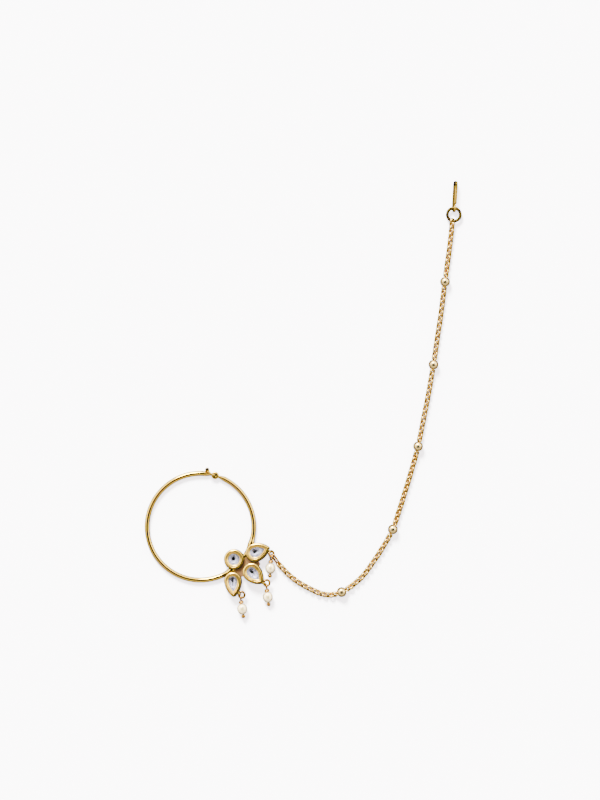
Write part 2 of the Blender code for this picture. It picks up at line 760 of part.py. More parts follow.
def hair_hook(finish):
    """Hook of bent wire that lies on its side: an eye round the end ring, and a long narrow bend."""
    way = bearing(HAIR_HOOK_BEARING)
    lean = Matrix.Rotation(math.radians(HAIR_HOOK_LEAN), 3, way)
    upright = lean @ UP
    eye_radius = (HAIR_HOOK_WIRE + END_RING_WIRE) / 2 + LINK_GAP
    ring_reach = (END_RING_OUTER_DIAMETER - END_RING_WIRE) / 2
    eye = end_ring_centre() + way * ring_reach
    bend = (HAIR_HOOK_GAP + HAIR_HOOK_WIRE) / 2
    low = eye - upright * eye_radius
    straight = HAIR_HOOK_LENGTH - bend - HAIR_HOOK_WIRE / 2 - eye_radius
    points = [low, low + way * straight * 0.5]
    top = low + way * straight
    points += circle(top + upright * bend, -upright, way, bend, 8, turn=180.0)
    back = top + upright * 2 * bend
    points += [back - way * (straight - HAIR_HOOK_OPENING) * 0.5,
               back - way * (straight - HAIR_HOOK_OPENING)]
    shank = wire(points, HAIR_HOOK_WIRE / 2, WIRE_SIDES, upright)
    loop = ring(eye, way, upright, eye_radius, HAIR_HOOK_WIRE, 14, WIRE_SIDES)
    return solder("hair_hook", [loop, shank], finish)


def build():
    """Model the whole jewel."""
    for old in list(bpy.data.objects):
        bpy.data.objects.remove(old, do_unlink=True)
    gold = new_finish("gold", (0.83, 0.60, 0.27), 0.18, 1.0)
    rose_gold = new_finish("chain_gold", (0.80, 0.53, 0.25), 0.25, 1.0)
    glass = new_finish("stone_glass", (0.86, 0.86, 0.90), 0.05, 0.0, 0.4)
    pearl_finish = new_finish("pearl", (0.90, 0.88, 0.78), 0.3, 0.0)

    places = setting_places()
    solids = [hoop_wire(), hoop_eye(), back_plate()]
    solids += [setting(outline, place) for _, outline, place in places]
    solids += [hanging_loop(petal) for petal in PETALS]
    solder("nose_hoop", solids, gold)
    for name, outline, place in places:
        add_piece(f"stone_{name}", stone(outline, place), glass, crease=5.0)

    for petal in PETALS:
        name = petal["name"]
        centre, first, second = ring_axes(petal)
        add_piece(f"jump_ring_{name}", ring(centre, first, second, ring_radius(), RING_WIRE), gold)
        headed_pin(petal, gold)
        add_piece(f"pearl_{name}", pearl(petal), pearl_finish)

    curve = route_curve()
    beads = curve[2]
    add_piece("oval_ring", oval_ring(curve), rose_gold)
    half = bead_half_length() + BEAD_EYE_STAND + bead_eye_radius() + BEAD_EYE_WIRE / 2 + CHAIN_END_GAP
    starts = [0.0] + [bead + half for bead in beads]
    ends = [bead - half for bead in beads] + [curve[1][-1]]
    for index, (start, end) in enumerate(zip(starts, ends), 1):
        chain_tube(f"chain_{index}", curve, start, end, rose_gold)
    for index, way in enumerate(beads, 1):
        centre, direction, aslant = bead_axes(curve, way)
        bead = drilled_bead(centre, direction, BEAD_DIAMETER, BEAD_DIAMETER, BEAD_BORE, BEAD_SIDES,
                            BEAD_STEPS, UP)
        add_piece(f"bead_{index}", bead, gold)
        bead_pin(f"bead_pin_{index}", curve, way, gold)
    add_piece("end_ring", end_ring(), gold)
    hair_hook(gold)


build()
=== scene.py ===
"""Nose ring with chain, dressed for its picture.

Laid out as an add-on and run as a script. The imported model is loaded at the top, and every piece goes
where its node lies. Metres, +Z up, and the jewel lies on the plane z = 0.
"""

import json
from math import asin, atan2, ceil, cos, degrees, exp, hypot, pi, radians, sin, sqrt

import bmesh
import bpy
from bpy.props import FloatProperty, FloatVectorProperty, IntProperty, PointerProperty
from bpy.types import Operator, Panel, PropertyGroup
from mathutils import Matrix, Vector, noise

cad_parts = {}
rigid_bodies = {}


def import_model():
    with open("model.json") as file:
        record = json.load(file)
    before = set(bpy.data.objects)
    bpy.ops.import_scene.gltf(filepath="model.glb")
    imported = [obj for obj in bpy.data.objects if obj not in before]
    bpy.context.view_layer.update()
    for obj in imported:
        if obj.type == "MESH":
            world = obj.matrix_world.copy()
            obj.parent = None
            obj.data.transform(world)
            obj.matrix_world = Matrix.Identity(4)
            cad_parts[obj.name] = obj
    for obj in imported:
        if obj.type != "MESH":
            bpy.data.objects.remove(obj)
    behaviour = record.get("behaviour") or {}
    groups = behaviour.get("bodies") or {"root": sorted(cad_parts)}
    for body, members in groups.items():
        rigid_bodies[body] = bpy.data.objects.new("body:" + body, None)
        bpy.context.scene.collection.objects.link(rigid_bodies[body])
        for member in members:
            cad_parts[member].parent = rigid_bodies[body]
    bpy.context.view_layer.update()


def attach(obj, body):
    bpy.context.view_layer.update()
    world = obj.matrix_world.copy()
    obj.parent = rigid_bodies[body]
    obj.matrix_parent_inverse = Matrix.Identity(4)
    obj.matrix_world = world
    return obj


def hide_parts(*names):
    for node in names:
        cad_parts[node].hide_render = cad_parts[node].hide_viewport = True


bl_info = {
    "name": "Nose ring with chain",
    "version": (1, 0, 0),
    "blender": (4, 5, 0),
    "location": "View3D > Sidebar > Jewel",
    "description": "Dresses the nose ring with chain: gold, stones, pearls, links and studio",
    "category": "Object",
}

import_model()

MM = 0.001
EAST, NORTH, UP = Vector((1, 0, 0)), Vector((0, 1, 0)), Vector((0, 0, 1))

# Sizes of the jewel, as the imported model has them
LINK_GAP = 0.08 * MM
HOOP_OUTER_DIAMETER = 40.5 * MM
HOOP_WIRE = 1.7 * MM
HOOP_JOINT = Vector((-22.65, -59.15, 0)) * MM
HOOP_JOINT_BEARING = -40.8
SOLDER_JOINT_BEARINGS = (-55.5, -18.5)
SOLDER_SWELL = 0.5 * MM
SOLDER_REACH = 1.5 * MM
CLOSURE_BEARING = 74.0
CLOSURE_WIRE = 0.75 * MM
CLOSURE_TAPER = 3.0 * MM
EYE_WIRE = 0.85 * MM
HOOK_LEG = 2.5 * MM
HOOK_SPREAD = 1.25 * MM
HOOK_DROP = 0.35 * MM
HOOK_KNOB = 1.5 * MM
SETTING_HEIGHT = 2.3 * MM
SETTING_SOLDER_LAP = 0.6 * MM
SETTING_TILT = 6.0
WALL_DRAFT = 0.15 * MM
RIM_WIDTH = 1.0 * MM
RIM_RISE = 0.38 * MM
LIP_WIDTH = 0.55 * MM
LIP_DROP = 0.75 * MM
LIP_EDGE = 0.12 * MM
WELL_FLOOR = 0.6 * MM
ROUND_DIAMETER = 7.6 * MM
PETAL_WIDTH = 7.0 * MM
PETAL_LENGTH = 5.75 * MM
PETAL_FLANK_START = 86.0
PETAL_MIN_TIP = 0.03 * MM
SETTING_SPACING = 0.7 * MM
ROUND_OFFSET = Vector((-2.4, 0.8, 0)) * MM
PLATE_THICKNESS = 0.45 * MM
PLATE_INSET = 0.1 * MM
PLATE_REACH = 9.8 * MM
PLATE_BEARING = -11.0
STONE_GAP = 0.08 * MM
STONE_HOLD = 0.12 * MM
STONE_TABLE_DROP = 0.3 * MM
STONE_GIRDLE = 0.15 * MM
LOOP_WIRE = 0.38 * MM
LOOP_HEIGHT = 0.8 * MM
RING_WIRE = 0.65 * MM
RING_OUTER_DIAMETER = 2.8 * MM
PIN_WIRE = 0.42 * MM
PIN_EYE_SLACK = 0.18 * MM
PIN_WRAP_WIRE = 0.34 * MM
PIN_WRAP_DIAMETERS = (1.2 * MM, 1.42 * MM, 1.6 * MM)
PEARL_WIDTH = 3.7 * MM
PEARL_LENGTH = 4.1 * MM
PEARL_BORE = 0.66 * MM
DROP_BALL = 1.4 * MM
OVAL_WIRE = 0.6 * MM
OVAL_LENGTH = 5.0 * MM
OVAL_WIDTH = 2.0 * MM
OVAL_BEARING = -36.0
OVAL_HOLD = 0.62 * MM
CHAIN_REST = 1.0 * MM
CHAIN_END_GAP = 0.12 * MM
CHAIN_LIFT_REACH = 5.5 * MM
BEAD_DIAMETER = 3.65 * MM
BEAD_BORE = 1.7 * MM
BEAD_EYE_WIRE = 0.4 * MM
BEAD_EYE_HOLE = 0.62 * MM
BEAD_EYE_STAND = 0.1 * MM
BEAD_PIN_WIRE = 0.38 * MM
END_RING_OUTER_DIAMETER = 5.75 * MM
END_RING_WIRE = 0.98 * MM
END_RING_BEARING = 78.0
HAIR_HOOK_WIRE = 0.85 * MM
HAIR_HOOK_LENGTH = 10.9 * MM
HAIR_HOOK_GAP = 1.2 * MM
HAIR_HOOK_OPENING = 1.4 * MM
HAIR_HOOK_BEARING = 87.0
HAIR_HOOK_LEAN = 20.0

# Sizes that follow from them
HOOP_RADIUS = (HOOP_OUTER_DIAMETER - HOOP_WIRE) / 2
EYE_RADIUS = (EYE_WIRE + CLOSURE_WIRE) / 2 + LINK_GAP
EYE_HEIGHT = CLOSURE_WIRE + LINK_GAP + EYE_WIRE / 2 + LINK_GAP / 2
LIP_INSET = WALL_DRAFT + RIM_WIDTH + LIP_WIDTH
RING_RADIUS = (RING_OUTER_DIAMETER - RING_WIRE) / 2
PIN_EYE_RADIUS = (PIN_WIRE + RING_WIRE) / 2 + LINK_GAP + PIN_EYE_SLACK
WRAP_LENGTH = len(PIN_WRAP_DIAMETERS) * PIN_WRAP_WIRE
PIN_LENGTH = PIN_EYE_RADIUS + PIN_WIRE / 2 + WRAP_LENGTH + LINK_GAP + PEARL_LENGTH / 2
BEAD_EYE_RADIUS = (BEAD_EYE_HOLE + BEAD_EYE_WIRE) / 2
BEAD_EYE_REACH = sqrt((BEAD_DIAMETER / 2) ** 2 - (BEAD_BORE / 2) ** 2) + BEAD_EYE_STAND
END_RING_HEIGHT = HAIR_HOOK_WIRE + LINK_GAP + END_RING_WIRE / 2

# Petals, by bearings in degrees and shares of the petal's sizes
PETALS = (
    {"name": "upper", "place": 17.7, "point": 19.5, "size": 1.0, "length": 1.0, "tip": 0.13,
     "loop": -13.0, "ring": -56.0, "hold": -106.0, "drop": -94.0, "slope": 14.0, "roll": -38.0},
    {"name": "middle", "place": -35.7, "point": -46.0, "size": 1.0, "length": 0.99, "tip": 0.2,
     "loop": 2.0, "ring": 10.0, "hold": -96.0, "drop": -83.5, "slope": 14.0, "roll": 0.0},
    {"name": "lower", "place": -93.0, "point": -86.0, "size": 0.95, "length": 1.02, "tip": 0.34,
     "loop": 21.0, "ring": -30.0, "hold": -116.0, "drop": -81.5, "slope": 12.0, "roll": 0.0},
)

# Steps round a petal's bulb, flank and tip, and round the round setting: fine, and coarse for a stone
PETAL_STEPS = {False: (48, 18, 8), True: (8, 3, 2)}
ROUND_STEPS = {False: 96, True: 16}

# The chain's way over the surface, in millimetres; the rows marked True carry a bead
CHAIN_ROUTE = (
    (-8.5, -60.5, False), (-4.1, -64.9, False), (1.3, -68.4, False), (8.0, -71.1, False),
    (14.0, -70.2, True), (20.7, -65.4, False), (25.2, -59.7, False), (29.2, -53.6, False),
    (32.6, -47.4, True), (35.0, -40.4, False), (37.2, -33.4, False), (39.3, -26.4, False),
    (41.8, -17.2, True), (44.2, -5.3, False), (45.6, 1.8, False), (47.4, 12.5, True),
    (49.0, 23.4, False), (50.1, 30.6, False), (51.6, 42.6, True), (52.9, 52.2, False),
    (53.8, 59.4, False), (54.2, 64.1, False),
)

# How far the end links stay from the wire that they hook into
LINK_PLAY = 0.02 * MM
# Height of the foot of the knob's painted dark reflection over the knob's middle, as a share of the knob,
# and how dark that painted reflection is
KNOB_CAP = 0.43
KNOB_DARK = 1.5
# Share of its gap that the hook's wire fills where it passes through the eye
EYE_FILL = 0.7
# Drop of solder on a hanging loop, and its neck
SOLDER_BALL = 1.15 * LOOP_WIRE * 2
SOLDER_NECK = 0.04 * MM
# Softened edges of the plate and of the settings' feet, and rounded mouths of the pearls and beads
PLATE_EDGE = 0.1 * MM
FOOT_EDGE = 0.06 * MM
PEARL_LIP = 0.1 * MM
BEAD_LIP = 0.09 * MM
# How far a pearl's surface wanders, over which span, and the share of its width that its section keeps
PEARL_LUMP = 0.05 * MM
LUMP_SPAN = 1.6 * MM
PEARL_NARROWED = 0.985
# Height of the foil over its well's floor, and the thickness of its rim and its floor
FOIL_STAND = 0.05 * MM
FOIL_RIM = 0.04 * MM
FOIL_FLOOR = 0.045 * MM
# How far a lip sags between its ends
LIP_SAG = 0.05 * MM
# Way from the middle of a stone to the painted dark spot of shade in its foil
CULET_SHIFT = Vector((-0.12, 0.3, 0.0)) * MM
# Width of the slit where a bent ring's ends meet
SLIT = 0.05 * MM
# How much thicker than in the model every wire is drawn, as the bright floor eats into its edges
BOLD = 0.16 * MM
# Painted shade on the hair hook: how dark it is along its lower leg, under the upper one, over its round
# top and just past it
HAIR_HOOK_SHADE = (0.8, 1.6, 0.9)
# How much longer than its own pitch a stretch of links may space them, and its path's steps for each link
LINK_SLACK = 0.05 * MM
PATH_STEPS = 8
# How far a setting's rim leans its crest towards the stone, and how wide the painted dark reflection along
# its outer edge is
RIM_LEAN = 0.35
OUTLINE_WIDTH = 0.26 * MM
# Strength of the floor's glow in the picture
HAZE_STRENGTH = 3.5
# Placeholder colour of a node group's sockets, and black
GREY = (0.5, 0.5, 0.5, 1.0)
BLACK = (0.0, 0.0, 0.0, 1.0)

# How much rougher than clean metal it is where its painted shade and tarnish are full
DULLING = 0.35
# Each metal's colour, added roughness, bump, drift of colour, depth of its painted shade and tarnish, and
# share of specks
METALS = {
    "yellow_gold": ("yellow", 0.0, 0.02, 0.12, 1.0, 0.0),
    "setting_gold": ("yellow", 0.02, 0.05, 0.25, 1.0, 0.0),
    "bead_gold": ("pale", 0.13, 0.02, 0.2, 1.0, 0.0),
    "orange_gold": ("orange", 0.03, 0.02, 0.3, 1.0, 0.0),
    "rose_gold": ("rose", 0.03, 0.02, 0.3, 0.8, 0.0),
    "copper_back": ("copper", 0.25, 0.3, 0.5, 1.0, 0.5),
    "aged_gold": ("yellow", 0.06, 0.08, 0.4, 1.0, 0.35),
}

# Tint of the tent's greys, and the greys from its foot to its top, in front and at the back
TENT_TINT = (1.0, 0.98, 0.95)
TENT_BANDS = (
    ((0.0, 0.16), (0.10, 0.05), (0.18, 0.06), (0.28, 0.18), (0.50, 0.22), (0.73, 0.20), (0.81, 0.008),
     (1.0, 0.004)),
    ((0.0, 0.15), (0.10, 0.02), (0.16, 0.02), (0.26, 0.90), (0.50, 1.0), (0.74, 0.9), (0.81, 0.012),
     (1.0, 0.004)),
)

# First words of the names of the pearls, stones and foils
GEM_NAMES = ("nacre_pearl", "cut_stone", "foil")

# Angular width in degrees of each lamp, and the way it shines
LAMPS = {
    "floor_lamp": (18.0, (0.36, -1.12, -1.0)),
    "lamp": (24.0, (0.35, -1.35, -1.0)),
    "gem_lamp": (5.0, (0.30, -0.90, -1.0)),
}
# Half the floor's width
FLOOR_REACH = 1.5

# Middle and height of what the picture shows, and height in millimetres of the camera's sensor
PICTURE_CENTRE = Vector((-1.13, -0.36, 1.5)) * MM
PICTURE_HEIGHT = 290.9 * MM
SENSOR_HEIGHT = 36.0


def tint(name, description, default):
    """Colour property."""
    return FloatVectorProperty(name=name, description=description, subtype="COLOR", size=3, min=0.0,
                               max=1.0, default=default)


def length(name, description, default, low, high):
    """Length property, given in millimetres."""
    return FloatProperty(name=name, description=description, unit="LENGTH", precision=5, min=low * MM,
                         max=high * MM, default=default * MM)


def number(name, description, default, low=0.0, high=1.0, subtype="NONE"):
    """Number property."""
    return FloatProperty(name=name, description=description, subtype=subtype, min=low, max=high,
                         default=default)


class GoldProperties(PropertyGroup):
    """Colours and polish of the metal."""

    yellow: tint("Yellow gold", "Colour of the hoop, settings, end ring and hook", (0.92, 0.60, 0.075))
    pale: tint("Pale gold", "Colour of the beads", (0.97, 0.72, 0.26))
    rose: tint("Rose gold", "Colour of the chain's links", (0.80, 0.53, 0.11))
    # Darker than the yellow gold: partly the rings' own orange tone, partly painted shade that keeps their
    # thin wires dark
    orange: tint("Orange gold", "Colour of the jump rings, pins and long ring", (0.55, 0.29, 0.045))
    copper: tint("Copper", "Colour of the plate behind the settings", (0.95, 0.55, 0.25))
    # Colour that painted shade, painted dark reflection and tarnish darken the metal to
    shade_tarnish_colour: tint("Tarnish", "Colour that the metal darkens to in its corners", (0.014, 0.010, 0.004))
    polish: number("Polish", "Roughness of the polished metal", 0.11, 0.02, 0.6, "FACTOR")


class LinkProperties(PropertyGroup):
    """Sizes of the chain's links."""

    diameter: length("Link diameter", "Outer diameter of one link", 2.48, 1.0, 4.0)
    wire: length("Link wire", "Thickness of the links' flattened wire, across the link", 0.66, 0.2, 1.0)
    band: number("Link band", "Width of the flattened wire, as a share of its thickness", 1.6, 0.5, 2.5)
    pitch: length("Pitch", "Way along the chain from one link to the next", 1.22, 0.8, 3.0)
    roll: number("Roll", "Turn of the links to either side of upright", radians(45), 0.0, pi / 2,
                 "ANGLE")
    unrest: number("Unrest", "How far a link may turn from its place", radians(4), 0.0, 0.3, "ANGLE")
    steps: IntProperty(name="Link steps", description="Segments round one link", min=8, max=48, default=16)
    sides: IntProperty(name="Wire sides", description="Sides of a link's wire", min=5, max=16, default=7)


class GemProperties(PropertyGroup):
    """Finish of the stones and pearls."""

    stone: tint("Stone", "Tint of the clear stones", (0.97, 0.97, 1.0))
    foil: tint("Foil", "Colour of the silvered foil behind the stones", (0.90, 0.90, 0.94))
    pearl: tint("Pearl", "Body colour of the pearls", (0.94, 0.76, 0.40))
    lustre: number("Lustre", "Strength of the pearls' clear coat", 1.0, subtype="FACTOR")


class StudioProperties(PropertyGroup):
    """Floor, light and camera."""

    floor: tint("Floor", "Colour of the floor", (0.93, 0.93, 0.94))
    mirrored: tint("Mirrored floor", "Colour of the floor as the metal mirrors it", (0.040, 0.033, 0.022))
    haze: tint("Haze", "Glow of the floor that lightens the shadows in the picture", (0.86, 0.78, 0.82))
    floor_lamp: number("Floor lamp", "Strength of the lamp that lights the floor only", 30.0, high=200.0)
    lamp: number("Lamp", "Strength of the soft lamp on the jewel", 9.0, high=100.0)
    gem_lamp: number("Gem lamp", "Strength of the lamp that lights gems only", 15.0, high=100.0)
    sky: number("Tent", "Strength of the white tent round the jewel", 6.5, high=50.0)
    lens: number("Lens", "Focal length of the camera", 200.0, 50.0, 600.0, "DISTANCE_CAMERA")


def bearing(turn):
    """Level unit vector that points along a bearing, counted from +X."""
    angle = radians(turn)
    return Vector((cos(angle), sin(angle), 0))


def level(point, height=0.0):
    """Point of the plan, at a height."""
    return Vector((point[0], point[1], height))


def smooth_step(share):
    """Ease from 0 to 1."""
    share = min(max(share, 0.0), 1.0)
    return share * share * (3 - 2 * share)


def squared(vector, way):
    """Unit vector nearest to a vector, square to a way."""
    return (vector - way * vector.dot(way)).normalized()


def circle(centre, first, second, radius, count, start=0.0, turn=360.0):
    """Points of an arc in the plane of two unit vectors; a whole turn leaves its last point out."""
    steps = count if turn == 360.0 else count - 1
    points = []
    for index in range(count):
        angle = radians(start + turn * index / steps)
        points.append(centre + (first * cos(angle) + second * sin(angle)) * radius)
    return points


def add_object(name, data):
    """New object in the scene."""
    made = bpy.data.objects.new(name, data)
    bpy.context.scene.collection.objects.link(made)
    return made


class Shell:
    """Mesh in the making. Each ring of points carries how dark its metal is painted: painted shade and
    painted dark reflection, and tarnish on the aged pieces.
    """

    def __init__(self):
        self.bm = bmesh.new()
        self.shade = self.bm.verts.layers.float.new("crevice")

    def ring_verts(self, points, crevice):
        """New vertices for one ring of points."""
        verts = []
        for point in points:
            vert = self.bm.verts.new(point)
            vert[self.shade] = crevice
            verts.append(vert)
        return verts

    def loft(self, rings, shade_and_tarnish_values=None, closed=False):
        """Closed skin over rings of as many points each, with flat ends unless it closes on itself."""
        shade_and_tarnish_values = shade_and_tarnish_values or [0.0] * len(rings)
        loops = [self.ring_verts(ring, crevice) for ring, crevice in zip(rings, shade_and_tarnish_values)]
        pairs = list(zip(loops, loops[1:]))
        if closed:
            pairs.append((loops[-1], loops[0]))
        else:
            self.bm.faces.new(loops[0])
            self.bm.faces.new(loops[-1])
        count = len(loops[0])
        for lower, upper in pairs:
            for index in range(count):
                after = (index + 1) % count
                self.bm.faces.new((lower[index], lower[after], upper[after], upper[index]))

    def wire(self, points, radii, up, sides=20, closed=False, shade_and_tarnish_values=None):
        """Round wire along points, a little bold. radii is one radius, or one for each point."""
        if not hasattr(radii, "__len__"):
            radii = [radii] * len(points)
        last = len(points) - 1
        rings = []
        for index, (point, radius) in enumerate(zip(points, radii)):
            before = points[index - 1] if closed or index else points[0]
            after = points[(index + 1) % len(points)] if closed or index < last else points[last]
            tangent = (after - before).normalized()
            up = squared(up, tangent)
            rings.append(circle(point, up, tangent.cross(up), radius + BOLD / 2, sides))
        self.loft(rings, shade_and_tarnish_values, closed)

    def ring(self, centre, first, second, radius, thickness, steps=48, sides=16, cut=None, crevice=0.0,
             inner_shade=0.0):
        """Round ring of wire in the plane of two unit vectors.

        cut is the bearing of the slit where its ends meet; the next two say how dark it is all over, and
        how much painted shade darkens its inner side.
        """
        start, turn = 0.0, 360.0
        if cut is not None:
            half_slit = degrees(SLIT / radius) / 2
            start, turn = cut + half_slit, 360.0 - 2 * half_slit
        points = circle(centre, first, second, radius, steps, start, turn)
        known = len(self.bm.verts)
        self.wire(points, thickness / 2, first.cross(second), sides, cut is None, [crevice] * steps)
        self.bm.verts.ensure_lookup_table()
        for vert in self.bm.verts[known:]:
            reach = (vert.co - centre).length
            depth = smooth_step((radius - reach) / (thickness / 2) + 0.25)
            vert[self.shade] = max(crevice, inner_shade * depth)

    def finish(self, name, look, nodes, crease=35.0):
        """The shell as a piece of the jewel, in a named material, that stands for CAD nodes."""
        bmesh.ops.recalc_face_normals(self.bm, faces=self.bm.faces)
        mesh = bpy.data.meshes.new(name)
        self.bm.to_mesh(mesh)
        self.bm.free()
        mesh.shade_smooth()
        mesh.set_sharp_from_angle(angle=radians(crease))
        mesh.materials.append(material(look))
        show(name, mesh, nodes)


def show(name, mesh, nodes):
    """Scene object for a finished mesh, riding on the jewel and standing for CAD nodes."""
    piece = add_object(name, mesh)
    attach(piece, "root")
    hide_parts(*nodes)


def ball_end(points, radii, centre, direction, neck, ball, steps=20):
    """Carry a wire on into a ball."""
    radius = ball / 2
    pole = radians(4)
    start = asin(neck / radius)
    for step in range(steps + 1):
        angle = start + (pi - pole - start) * step / steps
        points.append(centre - direction * radius * cos(angle))
        radii.append(radius * sin(angle))


class Nodes:
    """Short hand for one node tree."""

    def __init__(self, tree):
        self.tree = tree

    def feed(self, node, values):
        """Set or link a node's inputs, by name or index; a node stands for its first output."""
        for key, value in values.items():
            value = value.outputs[0] if isinstance(value, bpy.types.Node) else value
            if isinstance(value, bpy.types.NodeSocket):
                self.tree.links.new(value, node.inputs[key])
            else:
                node.inputs[key].default_value = value

    def add(self, kind, values=None, **settings):
        """New node; settings are its properties, values its inputs."""
        node = self.tree.nodes.new(kind)
        for key, value in settings.items():
            setattr(node, key, value)
        self.feed(node, values or {})
        return node

    def math(self, operation, first, second=0.0, third=0.0, clamp=False):
        """Output of one maths node."""
        values = {0: first, 1: second, 2: third}
        return self.add("ShaderNodeMath", values, operation=operation, use_clamp=clamp).outputs[0]

    def mix(self, factor, first, second, blend="MIX"):
        """Output of one colour mix."""
        values = {"Factor": factor, 6: first, 7: second}
        return self.add("ShaderNodeMix", values, data_type="RGBA", blend_type=blend).outputs[2]

    def ease(self, value, low, high):
        """Smooth step from 0 at low to 1 at high."""
        values = {"Value": value, "From Min": low, "From Max": high}
        return self.add("ShaderNodeMapRange", values, interpolation_type="SMOOTHSTEP").outputs[0]

    def place(self):
        """Object coordinates."""
        return self.add("ShaderNodeTexCoord").outputs["Object"]

    def noise(self, place, scale, detail=2.0, **more):
        """Value of a noise texture; more are its other inputs."""
        values = {"Vector": place, "Scale": scale, "Detail": detail, **more}
        return self.add("ShaderNodeTexNoise", values).outputs["Fac"]

    def crevice(self):
        """How dark the mesh says its surface is painted: painted shade and painted dark reflection, and
        tarnish on the aged pieces.
        """
        return self.add("ShaderNodeAttribute", attribute_name="crevice").outputs["Fac"]

    def bump(self, height, strength, distance):
        """Normal bent by a height, over a distance in millimetres."""
        values = {"Height": height, "Strength": strength, "Distance": distance * MM}
        return self.add("ShaderNodeBump", values).outputs[0]

    def ramp(self, value, stops):
        """Colour ramp through stops, each a position and a colour."""
        node = self.add("ShaderNodeValToRGB", {0: value})
        elements = node.color_ramp.elements
        while len(elements) < len(stops):
            elements.new(0.5)
        for element, (position, _) in zip(elements, stops):
            element.position = position
        for element, (_, shade) in zip(elements, stops):
            element.color = colour(shade)
        return node.outputs[0]


def colour(values):
    """Colour with full alpha."""
    return (*values, 1.0)


def new_group(name, inputs, outputs):
    """Shader group from its sockets' defaults; returns its nodes, its inputs and its output node."""
    tree = bpy.data.node_groups.new(name, "ShaderNodeTree")
    for way, sockets in (("INPUT", inputs), ("OUTPUT", outputs)):
        for label, default in sockets.items():
            kind = "NodeSocketColor" if isinstance(default, tuple) else "NodeSocketFloat"
            socket = tree.interface.new_socket(name=label, in_out=way, socket_type=kind)
            socket.default_value = default
    nodes = Nodes(tree)
    return nodes, nodes.add("NodeGroupInput").outputs, nodes.add("NodeGroupOutput")


def polish_group():
    """Hand polish: cloudy roughness and hair-fine scratches."""
    nodes, given, result = new_group("hand polish", {"Roughness": 0.12}, {"Roughness": 0.0, "Height": 0.0})
    place = nodes.place()
    clouds = nodes.noise(place, scale=700.0, detail=3.0, Roughness=0.6)
    uneven = nodes.math("MULTIPLY_ADD", clouds, 0.12, -0.06)
    rough = nodes.math("ADD", given["Roughness"], uneven, clamp=True)
    stretched = nodes.add("ShaderNodeMapping", {"Vector": place, "Rotation": (0.0, 0.0, 0.6),
                                                "Scale": (1.0, 0.08, 0.4)}).outputs[0]
    scratch = nodes.math("MULTIPLY", nodes.noise(stretched, scale=2600.0), 0.35)
    height = nodes.math("ADD", scratch, nodes.noise(place, scale=420.0, detail=1.0))
    nodes.feed(result, {"Roughness": rough, "Height": height})
    return nodes.tree


def shade_and_patina_group():
    """Metal colour that drifts a little and darkens where the mesh's attribute says so: painted shade and
    painted dark reflection, and tarnish on aged pieces; with specks of tarnish.
    """
    nodes, given, result = new_group(
        "patina", {"Metal": GREY, "Tarnish": GREY, "Drift": 0.12, "Depth": 1.0, "Specks": 0.0},
        {"Color": GREY, "Mask": 0.0})
    place = nodes.place()
    darker = nodes.mix(1.0, given["Metal"], (0.80, 0.66, 0.50, 1.0), "MULTIPLY")
    drift = nodes.math("MULTIPLY", nodes.noise(place, scale=260.0), 2.0)
    drifted = nodes.mix(nodes.math("MULTIPLY", drift, given["Drift"], clamp=True), given["Metal"], darker)
    grain = nodes.noise(place, scale=1500.0, detail=4.0)
    # Painted shade and painted dark reflection from the mesh, with tarnish on aged pieces, broken up by the
    # grain
    uneven = nodes.math("MULTIPLY", nodes.crevice(), nodes.math("MULTIPLY_ADD", grain, 0.9, 0.55))
    dark_depth = nodes.math("MULTIPLY", uneven, given["Depth"], clamp=True)
    speck = nodes.ease(grain, 0.60, 0.72)
    mask = nodes.math("MAXIMUM", dark_depth, nodes.math("MULTIPLY", speck, given["Specks"]))
    nodes.feed(result, {"Color": nodes.mix(mask, drifted, given["Tarnish"]), "Mask": mask})
    return nodes.tree


def group(name, maker):
    """Node group by name, made on first use."""
    return bpy.data.node_groups.get(name) or maker()


def new_material(name):
    """Empty material with its shader; returns the material, its nodes and the shader."""
    made = bpy.data.materials.new(name)
    made.use_nodes = True
    return made, Nodes(made.node_tree), made.node_tree.nodes["Principled BSDF"]


def metal(name):
    """Polished metal, darkened by painted shade and painted dark reflection where its mesh says so, and by
    tarnish on aged pieces.
    """
    gold = bpy.context.scene.jewel_gold
    tint_name, rough, bump, drift, depth, specks = METALS[name]
    made, nodes, shader = new_material(name)
    patina = nodes.add("ShaderNodeGroup",
                       {"Metal": colour(getattr(gold, tint_name)), "Tarnish": colour(gold.shade_tarnish_colour),
                        "Drift": drift, "Depth": depth, "Specks": specks},
                       node_tree=group("patina", shade_and_patina_group)).outputs
    polish = nodes.add("ShaderNodeGroup", {"Roughness": gold.polish + rough},
                       node_tree=group("hand polish", polish_group)).outputs
    dull = nodes.math("MULTIPLY_ADD", patina["Mask"], DULLING, polish["Roughness"])
    nodes.feed(shader, {"Metallic": 1.0, "Base Color": patina["Color"], "Roughness": dull,
                        "Normal": nodes.bump(polish["Height"], bump, distance=0.05)})
    return made


def clear_stone(name):
    """Clear cut glass with a faint cool tint and a few inner clouds."""
    made, nodes, shader = new_material(name)
    cloud = nodes.noise(nodes.place(), scale=500.0)
    tinted = nodes.mix(cloud, colour(bpy.context.scene.jewel_gems.stone), (0.90, 0.90, 0.98, 1.0))
    nodes.feed(shader, {"Base Color": tinted, "Roughness": 0.02, "IOR": 1.62, "Transmission Weight": 1.0})
    return made


def silver_foil(name):
    """Silvered foil behind the stones, lightly crumpled, with a painted dark spot of shade at its lowest
    point.
    """
    made, nodes, shader = new_material(name)
    folds = nodes.add("ShaderNodeTexVoronoi", {"Vector": nodes.place(), "Scale": 1100.0})
    folds = folds.outputs["Distance"]
    silver = nodes.mix(folds, colour(bpy.context.scene.jewel_gems.foil), (0.60, 0.56, 0.74, 1.0))
    spotted = nodes.mix(nodes.crevice(), silver, (0.003, 0.003, 0.004, 1.0))
    bent = nodes.bump(folds, strength=0.35, distance=0.15)
    nodes.feed(shader, {"Base Color": spotted, "Normal": bent, "Metallic": 0.75, "Roughness": 0.28})
    return made


